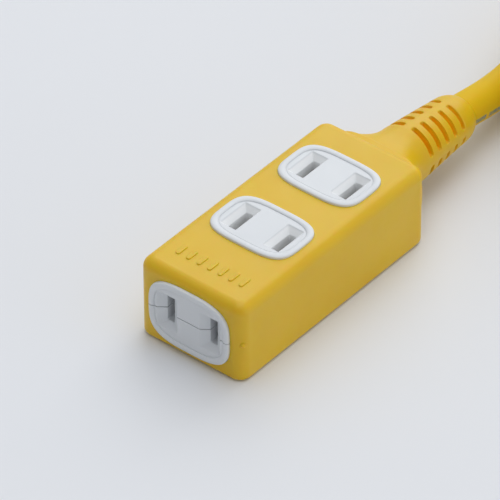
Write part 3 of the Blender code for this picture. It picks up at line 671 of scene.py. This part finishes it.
NECK_END = 0.1003
BORE_RADIUS = 0.00472
UPPER_SLOT_ANGLES = (15.0, 80.5)
LOWER_SLOT_ANGLES = (6.0, 80.5)
SLOT_FLOOR = 0.0054
SLOT_EDGE = 0.00022
NECK_STEPS = 40
EDGE_SHARES = (-0.9, -0.55, -0.25, 0, 0.25, 0.55, 0.9)


def slot_depth(y, turn, radius, slots):
    """How far a place on a neck is pressed in, from 0 to 1, by any of the cross slots."""
    quarter = abs(math.asin(abs(math.sin(turn))))
    angles = UPPER_SLOT_ANGLES if math.sin(turn) > 0 else LOWER_SLOT_ANGLES
    first, last = (math.radians(angle) for angle in angles)
    along = (abs(quarter - (first + last) / 2) - (last - first) / 2) * radius
    pressed = 0.0
    for centre, width in slots:
        if abs(y - centre) > width:
            continue
        corner = width * 0.42
        a, b = along + corner, abs(y - centre) - width / 2 + corner
        outside = math.hypot(max(a, 0), max(b, 0)) + min(max(a, b), 0) - corner
        pressed = max(pressed, smoothstep(0.5 - outside / SLOT_EDGE))
    return pressed


def section_radius(half_width, half_height, squareness, turn):
    wide = abs(math.cos(turn) / half_width) ** squareness
    high = abs(math.sin(turn) / half_height) ** squareness
    return (wide + high) ** (-1 / squareness)


def stations(ends, slots):
    """Places along a neck: evenly spread, and close together at each edge of a slot."""
    places = [ends[0] + (ends[1] - ends[0]) * k / NECK_STEPS for k in range(NECK_STEPS + 1)]
    for centre, width in slots:
        places = [y for y in places if abs(y - centre) > width / 2 + SLOT_EDGE]
        for side in (-1, 1):
            for share in EDGE_SHARES:
                places.append(centre + side * (width / 2 + share * SLOT_EDGE / 1.6))
        places.append(centre)
    places.sort()
    return places


def slotted_ring(y, section, height, slots, count):
    """Points round a neck at one place along it, pressed in where a cross slot runs."""
    ring = []
    for k in range(count):
        turn = 2 * math.pi * k / count
        radius = section_radius(*section(y), turn)
        pressed = slot_depth(y, turn, radius, slots)
        radius = lerp(radius, min(radius, SLOT_FLOOR), pressed)
        ring.append((radius * math.cos(turn), y, height + radius * math.sin(turn)))
    return ring


def bored_neck(places):
    """The tap's neck with its cross slots and the cord's bore, as one closed tube of quads."""
    rings = [slotted_ring(y, neck_section, neck_axis(y), NECK_SLOTS, NECK_SIDES) for y in places]
    tip, mouth = places[-1], BORE_RADIUS + BORE_CHAMFER
    turns = [2 * math.pi * k / NECK_SIDES for k in range(NECK_SIDES)]
    for y, radius in ((tip, mouth), (tip - 0.0003, BORE_RADIUS), (RELIEF_START, BORE_RADIUS)):
        rings.append([(radius * math.cos(t), y, neck_axis(y) + radius * math.sin(t)) for t in turns])
    bm = bmesh.new()
    made = skin(bm, rings, capped=False)
    join_rings(bm, made[-1], made[0])
    return bm


def neck_axis(y):
    return NECK_HEIGHT - NECK_DROP * max(y - BODY_LENGTH, 0) ** 2


BOSS = (0.0130, 0.0091, 3.4)
BOSS_END = BODY_LENGTH + 0.0017
BOSS_ROUND = 0.0006
LIP_RADIUS = 0.0051
NECK_SIDES = 240
BORE_CHAMFER = 0.0002
RELIEF_START = 0.0664
BOSS_MIDDLE = 0.0688
NECK_SLOTS = [(0.0805 + 0.0034 * k, 0.0014 - 0.000075 * k) for k in range(5)]


def neck_section(y):
    """Half width, half height and squareness of the boss, its flare, the neck or its rounded tip."""
    if y <= BOSS_END:
        inward = max(y - BOSS_END + BOSS_ROUND, 0) / BOSS_ROUND
        inset = BOSS_ROUND * (1 - math.sqrt(max(1 - inward**2, 0)))
        return BOSS[0] - inset, BOSS[1] - inset, BOSS[2]
    if y < FLARE_END:
        share = (1 - (y - BOSS_END) / (FLARE_END - BOSS_END)) ** 2.6
        return (
            lerp(NECK_START_RADIUS, BOSS[0] - BOSS_ROUND, share),
            lerp(NECK_START_RADIUS, BOSS[1] - BOSS_ROUND, share),
            lerp(2, BOSS[2], share),
        )
    share = (y - FLARE_END) / (LIP_START - FLARE_END)
    radius = lerp(NECK_START_RADIUS, NECK_TIP_RADIUS, min(share, 1))
    if y > LIP_START:
        inward = (y - LIP_START) / (NECK_END - LIP_START)
        radius = lerp(NECK_TIP_RADIUS, LIP_RADIUS, inward**1.8)
    return radius, radius, 2


def add_strain_relief():
    places = [RELIEF_START, BOSS_MIDDLE]
    places += [BOSS_END - BOSS_ROUND * (1 - math.sin(k * 0.26)) for k in range(7)]
    places += [lerp(BOSS_END, FLARE_END, k / 24) for k in range(1, 25)]
    places += [y for y in stations((FLARE_END, LIP_START), NECK_SLOTS) if y > FLARE_END + 0.0001]
    places += [lerp(LIP_START, NECK_END, k / 12) for k in range(1, 13)]
    bm = bored_neck(places)
    bm.transform(Matrix.Translation((0, FRONT, 0)))
    return piece("strain_relief", to_mesh(bm), neck_vinyl, ("outer_body",), sharp=60)


# ---------------------------------------------------------------- casing

VERTICAL_EDGE_RADIUS = 0.0030
TOP_CORNER_RADIUS = 0.0008
TOP_EDGE_RADIUS = 0.0028
BOTTOM_EDGE_RADIUS = 0.0013
OUTLET = (0.0117, 0.0081, 3.7)
END_OUTLET = (0.0118, 0.0088, 3.3)
FIT = 0.00003
CORE_LOW = (-0.0128, CORE_START, 0.0025)
CORE_HIGH = (0.0128, FRONT + 0.0632, 0.0193)
FORWARD = Matrix.Rotation(math.pi / 2, 4, "X")
CORE_MARGIN = 0.0003
OUTLET_DEPTH = 0.0037
END_POCKET_DEPTH = 0.0078
CUT_CLEARANCE = 0.003
PASSAGE_RADIUS = 0.0050
PASSAGE_ENDS = (FRONT + 0.0625, FRONT + BODY_LENGTH + 0.001)
BAR_COUNT = 7
BAR_PITCH = 0.0031
BAR_HALF_SIZE = (0.0006, 0.0018)
BAR_PLACE = FRONT + 0.0084
BAR_PROFILE = ((-0.0004, 0), (0.0001, 0), (0.00017, 0.00003), (0.00023, 0.00010), (0.00026, 0.00022))
GATE_TURN = math.radians(52)
GATE_HEIGHT = 0.0110
GATE_RADIUS = 0.00065
GATE_PROUD = 0.0008
GATE_SUNK = 0.0001


def casing_block():
    """The body: rounded upright corners, a large round on the top edges and a small one below."""
    levels = []
    for k in range(7):
        turn = math.pi / 12 * k
        levels.append((BOTTOM_EDGE_RADIUS * (1 - math.sin(turn)), BOTTOM_EDGE_RADIUS * (1 - math.cos(turn))))
    for k in range(13):
        turn = math.pi / 24 * k
        rise = TOP_EDGE_RADIUS * (1 - math.sin(turn))
        levels.append((TOP_EDGE_RADIUS * (1 - math.cos(turn)), BODY_HEIGHT - rise))
    middle = FRONT + BODY_LENGTH / 2
    rings = []
    for inset, z in levels:
        corner = lerp(VERTICAL_EDGE_RADIUS, TOP_CORNER_RADIUS, inset / TOP_EDGE_RADIUS)
        outline = rounded_rectangle(HALF_WIDTH - inset, BODY_LENGTH / 2 - inset, corner, 12)
        rings.append([(x, middle + y, z) for x, y in outline])
    return solid(rings)


def oval_prism(shape, low, high, place, margin=0.0):
    """A straight plug of an outlet's outline, from low to high along the way it faces."""
    half_width, half_height, squareness = shape
    outline = oval(half_width + margin, half_height + margin, squareness)
    return solid([[(x, y, out) for x, y in outline] for out in (low, high)], place)


def outlet_place(y):
    return Matrix.Translation((0, y, BODY_HEIGHT))


END_PLACE = Matrix.Translation((0, FRONT, 0.01075)) @ FORWARD
END_SLOT_PLACE = Matrix.Translation((0, FRONT, MID_HEIGHT)) @ FORWARD


def raised_bar(x):
    """A low bar with round ends and a rounded top, standing on the casing."""
    rings = []
    for out, inset in BAR_PROFILE:
        half_width, half_length = (half - inset for half in BAR_HALF_SIZE)
        ring = []
        for end, start in ((1, 0.0), (-1, math.pi)):
            for k in range(11):
                turn = start + math.pi * k / 10
                along = end * (half_length - half_width) + half_width * math.sin(turn)
                ring.append((x + half_width * math.cos(turn), BAR_PLACE + along, BODY_HEIGHT + out))
        rings.append(ring)
    return solid(rings)


def gate_mark():
    """A small round stub on the front right edge, as a trimmed mould gate leaves."""
    reach = VERTICAL_EDGE_RADIUS - GATE_SUNK
    x = HALF_WIDTH - VERTICAL_EDGE_RADIUS + reach * math.sin(GATE_TURN)
    y = FRONT + VERTICAL_EDGE_RADIUS - reach * math.cos(GATE_TURN)
    place = Matrix.Translation((x, y, GATE_HEIGHT)) @ Matrix.Rotation(GATE_TURN, 4, "Z") @ FORWARD
    rings = []
    for k in range(7):
        rise = math.pi / 2 * k / 7
        outline = oval(GATE_RADIUS * math.cos(rise), GATE_RADIUS * math.cos(rise), 2, 24)
        rings.append([(across, up, GATE_PROUD * math.sin(rise)) for across, up in outline])
    return solid(rings, place)


def add_casing():
    """The casing, opened for the inserts and the wires."""
    opened = [block([v - CORE_MARGIN for v in CORE_LOW], [v + CORE_MARGIN for v in CORE_HIGH])]
    opened.append(oval_prism(END_OUTLET, -END_POCKET_DEPTH, CUT_CLEARANCE, END_PLACE, FIT))
    for y in (FRONT_OUTLET, REAR_OUTLET):
        opened.append(oval_prism(OUTLET, -OUTLET_DEPTH, CUT_CLEARANCE, outlet_place(y), FIT))
    passage = oval(PASSAGE_RADIUS, PASSAGE_RADIUS, 2, 48)
    opened.append(solid([[(x, y, NECK_HEIGHT + z) for x, z in passage] for y in PASSAGE_ENDS]))
    mesh = combine(casing_block(), opened, "DIFFERENCE")
    piece("tap_casing", mesh, tap_vinyl, ("outer_body",))


def add_raised_bars():
    """The row of bars on top and the gate mark, as one piece."""
    bm = bmesh.new()
    for k in range(BAR_COUNT):
        bm.from_mesh(raised_bar((k - BAR_COUNT // 2) * BAR_PITCH))
    bm.from_mesh(gate_mark())
    piece("raised_bars", to_mesh(bm), tap_vinyl, ("outer_body",), sharp=60)


# ---------------------------------------------------------------- white inserts

RIM_WIDTH = 0.0016
RIM_PROUD = 0.0007
END_PLATE_PROUD = 0.0005
END_RIM_PROUD = 0.0009
MOUTH = (0.00455, 0.0091, 0.0016)
SLOT = (0.0021, 0.0069, 0.0036)
END_MOUTH = (0.0056, 0.0098, 0.0015)
END_SLOT = (0.0021, 0.0073, 0.0030)
SEAM = 0.00024
CHANNEL = (0.0033, 0.0096)
CHANNEL_START = FRONT + 0.0034
CHAMBER_START = FRONT + 0.0546
CHAMBER_END = FRONT + 0.0616
CHANNEL_FLOOR = 0.0046
CHANNEL_CEILING = 0.0178
CHAMBER_HALF_WIDTH = 0.005
WIRE_HOLE = ((-0.008, CHAMBER_END - 0.001, 0.0062), (0.008, CORE_HIGH[1] + 0.001, 0.0140))
NOSE_DEPTH = 0.0068
AROUND_LOW = (-0.02, FRONT - 0.01, -0.01)
AROUND_HIGH = (0.02, FRONT + 0.08, 0.03)
GROOVE_STEPS = ((0.0, 0.0001), (0.00008, 0.00009), (0.00016, 0.00003), (0.0003, 0.0))
FUNNEL_LIP = ((0.0007, 0.0004), (0.0005, 0.0), (0.00022, -0.00006), (0.00004, -0.00018))
FUNNEL_CORNER = 0.00035


def rimmed_face(shape, back, crest, plate, place):
    """An outlet's face: a wall, a rounded rim, a fine groove inside it, and a flat plate."""
    half_width, half_height, squareness = shape
    shoulder = plate - 0.0001
    profile = [(0.0, back), (0.0, shoulder - 0.0002)]
    for k in range(13):
        turn = math.pi * k / 12
        inset = RIM_WIDTH / 2 * (1 - math.cos(turn))
        profile.append((inset, shoulder + (crest - shoulder) * math.sin(turn) ** 0.8))
    groove = RIM_WIDTH + 0.00005
    profile += [(groove + step, plate - drop) for step, drop in GROOVE_STEPS]
    rings = []
    for inset, out in profile:
        outline = oval(half_width - inset, half_height - inset, squareness)
        rings.append([(x, y, out) for x, y in outline])
    return solid(rings, place)


def funnel(mouth, slot, plate, place):
    """A cutter for a blade's way in: a soft-edged mouth, sloping walls, and the slot below them."""
    wide, tall, depth = mouth
    thin, high, reach = slot
    sizes = [(wide + extra, tall + extra, out) for extra, out in FUNNEL_LIP]
    sizes += [(thin + 0.0001, high + 0.0001, -depth + 0.00005), (thin, high, -depth - 0.00008)]
    sizes += [(thin, high, -depth - reach)]
    rings = []
    for across, along, out in sizes:
        outline = rounded_rectangle(across / 2, along / 2, FUNNEL_CORNER)
        rings.append([(x, y, plate + out) for x, y in outline])
    return solid(rings, place)


def core_cutters():
    """The contact channels, the chamber behind them, and the hole for the wires."""
    inner, outer = CHANNEL
    tools = []
    for _side, sign in SIDES:
        low, high = sorted((sign * inner, sign * outer))
        tools.append(block((low, CHANNEL_START, CHANNEL_FLOOR), (high, CHAMBER_END, CHANNEL_CEILING)))
        sideways = Matrix.Translation((sign * SLOT_SPACING / 2, 0, 0))
        tools.append(funnel(END_MOUTH, END_SLOT, END_PLATE_PROUD, sideways @ END_SLOT_PLACE))
    chamber_low = (-CHAMBER_HALF_WIDTH, CHAMBER_START, CHANNEL_FLOOR)
    chamber_high = (CHAMBER_HALF_WIDTH, CHAMBER_END - 0.0002, CHANNEL_CEILING)
    return [*tools, block(chamber_low, chamber_high), block(*WIRE_HOLE)]


def add_inserts():
    """The white insulator's two halves, which meet at a fine seam across the end outlet."""
    seam_high = MID_HEIGHT + SEAM / 2
    seam_low = MID_HEIGHT - SEAM / 2
    nose = (END_OUTLET, -NOSE_DEPTH, END_RIM_PROUD, END_PLATE_PROUD, END_PLACE)
    faces = [rimmed_face(*nose)]
    tools = core_cutters()
    for y in (FRONT_OUTLET, REAR_OUTLET):
        place = outlet_place(y)
        faces.append(rimmed_face(OUTLET, -OUTLET_DEPTH, RIM_PROUD, PLATE_PROUD, place))
        for _side, sign in SIDES:
            sideways = Matrix.Translation((sign * SLOT_SPACING / 2, 0, 0))
            tools.append(funnel(MOUTH, SLOT, PLATE_PROUD, sideways @ place))
    below = block(AROUND_LOW, (*AROUND_HIGH[:2], seam_high))
    above = block((*AROUND_LOW[:2], seam_low), AROUND_HIGH)
    top = combine(block(CORE_LOW, CORE_HIGH), faces, "UNION")
    top = combine(top, [*tools, below], "DIFFERENCE")
    piece("insert_top", top, insert_plastic, ("core_top",))
    base = combine(block(CORE_LOW, CORE_HIGH), [rimmed_face(*nose)], "UNION")
    base = combine(base, [*core_cutters(), above], "DIFFERENCE")
    piece("insert_base", base, insert_plastic, ("core_base",))


# ---------------------------------------------------------------- plug

PLUG_FACE = 0.0560
PLUG_SECTIONS = (
    (0.0000, 0.0054, 0.0054, 2.0),
    (0.0004, 0.0058, 0.0058, 2.0),
    (0.0012, 0.0061, 0.0061, 2.0),
    (0.0200, 0.0073, 0.0073, 2.0),
    (0.0230, 0.0077, 0.0075, 2.1),
    (0.0260, 0.0090, 0.0080, 2.6),
    (0.0290, 0.0103, 0.0083, 3.1),
    (0.0320, 0.0110, 0.0083, 3.4),
    (0.0370, 0.0109, 0.0081, 3.5),
    (0.0430, 0.0109, 0.0080, 3.6),
    (0.0490, 0.0115, 0.0082, 3.8),
    (0.0525, 0.0122, 0.0084, 4.0),
    (0.0543, 0.0127, 0.0086, 4.0),
    (0.0553, 0.0127, 0.0086, 4.0),
    (0.0557, 0.0126, 0.0085, 4.0),
    (0.0560, 0.0122, 0.0081, 4.0),
)
PLUG_SLOTS = [(0.0040 + 0.0034 * k, 0.0011) for k in range(4)]
PLUG_CORE = (0.0105, 0.0058, 5.0)
PLUG_SIDES = 160
PLUG_TIP_PLACES = (0.0, 0.0002, 0.0004, 0.0008, 0.0012)
PLUG_RELIEF_ENDS = (0.0013, 0.0195)
PLUG_GRIP_START = 0.0200
PLUG_GRIP_STEP = 0.0006
PLUG_GRIP_STEPS = 56
PLUG_RIM_PLACES = (0.0539, 0.0543, 0.0553, 0.0555, 0.0557, 0.0559)
PLUG_CORE_PROFILE = ((-0.0100, 0), (0.0003, 0), (0.00048, 0.00006), (0.0006, 0.0002))
PLUG_POCKET_DEPTH = 0.0220
PLUG_PASSAGE_ENDS = (-0.001, 0.0345)
BLADE = (0.0015, 0.0063)
SLIT_MARGIN = 0.0001
SLIT_CORNER = 0.0002
SLIT_DEPTH = 0.0120
RIDGE_COUNT = 4
RIDGE_START = 0.0365
RIDGE_PITCH = 0.0030
RIDGE_HALF_SIZE = (0.0062, 0.0006)
RIDGE_BASE = 0.0079
RIDGE_PROFILE = ((-0.0006, 0), (0.0001, 0), (0.00022, 0.00005), (0.00032, 0.00016), (0.00036, 0.00032))
PLUG_PLACE = Matrix.Translation(PLUG_ENTRY) @ Matrix.Rotation(PLUG_TURN, 4, "Z")


def plug_section(y):
    return tuple(sweep([(row[0], row[k]) for row in PLUG_SECTIONS], y) for k in (1, 2, 3))


def plug_blank():
    """The plug's outside as a solid: its slotted relief, a slightly waisted grip, and its face."""
    relief_start, relief_end = PLUG_RELIEF_ENDS
    places = [*PLUG_TIP_PLACES]
    places += [y for y in stations((relief_start, relief_end), PLUG_SLOTS) if y > relief_start]
    places += [PLUG_GRIP_START + PLUG_GRIP_STEP * k for k in range(1, PLUG_GRIP_STEPS + 1)]
    places += [*PLUG_RIM_PLACES, PLUG_FACE]
    return solid([slotted_ring(y, plug_section, 0.0, PLUG_SLOTS, PLUG_SIDES) for y in places])


def grip_ridge(y, side):
    """One raised finger ridge across a broad side of the plug."""
    rings = []
    for out, inset in RIDGE_PROFILE:
        half_width, half_length = (half - inset for half in RIDGE_HALF_SIZE)
        outline = rounded_rectangle(half_width, half_length, half_length - 1e-5, 6)
        rings.append([(across, y + along, side * (RIDGE_BASE + out)) for across, along in outline])
    return solid(rings)


def along_y(outline, low, high):
    """A straight bar of an outline, from low to high along the plug."""
    return solid([[(x, y, z) for x, z in outline] for y in (low, high)])


def add_plug_grip():
    pocket = oval(PLUG_CORE[0] + FIT, PLUG_CORE[1] + FIT, PLUG_CORE[2], 96)
    passage = oval(BORE_RADIUS, BORE_RADIUS, 2, 64)
    places = [RIDGE_START + RIDGE_PITCH * k for k in range(RIDGE_COUNT)]
    ridges = [grip_ridge(y, side) for y in places for side in (-1, 1)]
    body = combine(plug_blank(), ridges, "UNION")
    tools = [along_y(pocket, PLUG_FACE - PLUG_POCKET_DEPTH, PLUG_FACE + 0.001)]
    tools.append(along_y(passage, *PLUG_PASSAGE_ENDS))
    body = combine(body, tools, "DIFFERENCE")
    body.transform(PLUG_PLACE)
    return piece("plug_grip", body, tap_vinyl, ("plug_body",), sharp=50)


def add_plug_face():
    """The white core that the blades stand in, with a slit for each blade."""
    rings = []
    for y, inset in PLUG_CORE_PROFILE:
        outline = oval(PLUG_CORE[0] - inset, PLUG_CORE[1] - inset, PLUG_CORE[2], 96)
        rings.append([(x, PLUG_FACE + y, z) for x, z in outline])
    slits = []
    slit = rounded_rectangle(BLADE[0] / 2 + SLIT_MARGIN, BLADE[1] / 2 + SLIT_MARGIN, SLIT_CORNER)
    for _side, sign in SIDES:
        shifted = [(x + sign * SLOT_SPACING / 2, z) for x, z in slit]
        slits.append(along_y(shifted, PLUG_FACE - SLIT_DEPTH, PLUG_FACE + 0.002))
    core = combine(solid(rings), slits, "DIFFERENCE")
    core.transform(PLUG_PLACE)
    return piece("plug_face_core", core, insert_plastic, ("plug_core",))


# ---------------------------------------------------------------- hank tie

tie_low, tie_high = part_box("hank_tie")
STRAP_THICKNESS = 0.0008
STRAP_CORNER = 0.0048
STRAP_SOFT = 0.00018
LAP_HEIGHTS = (0.0060, 0.0100, 0.0150, 0.0200, 0.0226)
LAP_TIP_HEIGHT = 0.0238
LAP_INSET = 0.0004


def strap_band(path, low, high, closed):
    """A flat strap with soft edges along a path of (x, z, outward x, outward z)."""
    soft, thick = STRAP_SOFT, STRAP_THICKNESS
    shape = (
        (0, low + soft), (0, high - soft), (soft, high), (thick - soft, high),
        (thick, high - soft), (thick, low + soft), (thick - soft, low), (soft, low),
    )
    rings = [[(x + out * ox, y, z + out * oz) for out, y in shape] for x, z, ox, oz in path]
    bm = bmesh.new()
    made = skin(bm, rings, capped=not closed)
    if closed:
        join_rings(bm, made[-1], made[0])
    return bm


def add_tie():
    """The strap round the hank's waist, with its end lapped over one side."""
    middle = (tie_low + tie_high) / 2
    half_width = (tie_high.x - tie_low.x) / 2 - STRAP_THICKNESS
    half_height = (tie_high.z - tie_low.z) / 2 - STRAP_THICKNESS
    outline = rounded_rectangle(half_width, half_height, STRAP_CORNER, 10)
    path = []
    for k, (x, z) in enumerate(outline):
        after, before = outline[(k + 1) % len(outline)], outline[k - 1]
        ahead = Vector((after[0] - before[0], after[1] - before[1])).normalized()
        path.append((middle.x + x, middle.z + z, ahead.y, -ahead.x))
    bm = strap_band(path, tie_low.y, tie_high.y, closed=True)
    side_x = tie_high.x + 0.00002
    lap = [(side_x, z, 1.0, 0.0) for z in LAP_HEIGHTS]
    lap += [(side_x - 0.0002, LAP_TIP_HEIGHT, 0.97, 0.24)]
    flap = strap_band(lap, tie_low.y + LAP_INSET, tie_high.y - LAP_INSET, closed=False)
    bm.from_mesh(to_mesh(flap))
    return piece("waist_strap", to_mesh(bm), strap, ("hank_tie",), sharp=50)


# ---------------------------------------------------------------- pieces kept from the CAD


def refinish(name, material, soft_edge=0.0):
    """A CAD piece whose shape stays, with a finer material and its sharp edges eased."""
    kept = nodes[name]
    kept.data.materials.clear()
    kept.data.materials.append(material)
    if soft_edge:
        ease = kept.modifiers.new("soft_edges", "BEVEL")
        ease.width = soft_edge
        ease.segments = 2
        ease.limit_method = "ANGLE"
        ease.harden_normals = False


def refinish_kept_pieces():
    for side, _sign in SIDES:
        cover = black_cover if side == "left" else pale_cover
        for place in ("front", "rear", "end"):
            refinish(f"{place}_contact_{side}", brass, 0.00006)
        refinish(f"bus_bar_{side}", brass, 0.0001)
        refinish(f"crimp_{side}", brass, 0.0001)
        refinish(f"wire_strands_{side}", copper)
        refinish(f"wire_{side}", cover)
        refinish(f"plug_wire_{side}", cover)
        refinish(f"plug_blade_{side}", nickel, 0.00018)
    refinish("sheath_end", cord_vinyl)
    refinish("plug_sheath_end", cord_vinyl)


add_strain_relief()
add_casing()
add_raised_bars()
add_inserts()
on_cord = [add_plug_grip(), add_plug_face(), add_tie()]
refinish_kept_pieces()
on_cord += [nodes["plug_sheath_end"], nodes["plug_blade_left"], nodes["plug_blade_right"]]
on_cord += [nodes["plug_wire_left"], nodes["plug_wire_right"]]

# ---------------------------------------------------------------- floor and light

COOL_WHITE = (0.955, 0.975, 1.0)
FLOOR_PAPER = (0.786, 0.797, 0.824, 1)


def add_floor():
    bm = bmesh.new()
    bmesh.ops.create_grid(bm, x_segments=1, y_segments=1, size=4)
    floor = bpy.data.objects.new("floor", to_mesh(bm))
    bpy.context.scene.collection.objects.link(floor)
    paper = Surface("floor_paper", 0.7, Base_Color=FLOOR_PAPER)
    floor.data.materials.append(paper.material)


def add_softbox(name, place, width, depth, radiance):
    """A rectangular light that faces the tap."""
    light = bpy.data.lights.new(name, "AREA")
    light.shape = "RECTANGLE"
    light.size = width
    light.size_y = depth
    light.energy = radiance * math.pi * width * depth
    light.color = COOL_WHITE
    made = bpy.data.objects.new(name, light)
    made.location = place
    made.rotation_euler = (-Vector(place)).to_track_quat("-Z", "Y").to_euler()
    bpy.context.scene.collection.objects.link(made)


def add_world(low, high, brightest):
    """A plain studio round the object, brightest in one direction and dimmest opposite."""
    world = bpy.data.worlds.new("studio")
    world.use_nodes = True
    tree = world.node_tree
    background = tree.nodes["Background"]
    background.inputs["Color"].default_value = (*COOL_WHITE, 1)
    place = tree.nodes.new("ShaderNodeTexCoord")
    facing = tree.nodes.new("ShaderNodeVectorMath")
    facing.operation = "DOT_PRODUCT"
    facing.inputs[1].default_value = Vector(brightest).normalized()
    spread = tree.nodes.new("ShaderNodeMapRange")
    for name, number in (("From Min", -1), ("From Max", 1), ("To Min", low), ("To Max", high)):
        spread.inputs[name].default_value = number
    tree.links.new(place.outputs["Generated"], facing.inputs[0])
    tree.links.new(facing.outputs["Value"], spread.inputs["Value"])
    tree.links.new(spread.outputs["Result"], background.inputs["Strength"])
    bpy.context.scene.world = world


add_floor()
add_softbox("softbox", (-0.5, 1.25, 1.15), width=1.6, depth=1.4, radiance=1.6)
add_softbox("overhead", (0.05, 0.05, 1.6), width=1.3, depth=1.3, radiance=1.38)
add_softbox("fill", (1.7, 0.3, 0.30), width=1.0, depth=0.55, radiance=1.3)
add_world(low=0.31, high=0.695, brightest=(0.25, 0.95, 0.2))
bpy.context.scene.view_settings.view_transform = "Standard"
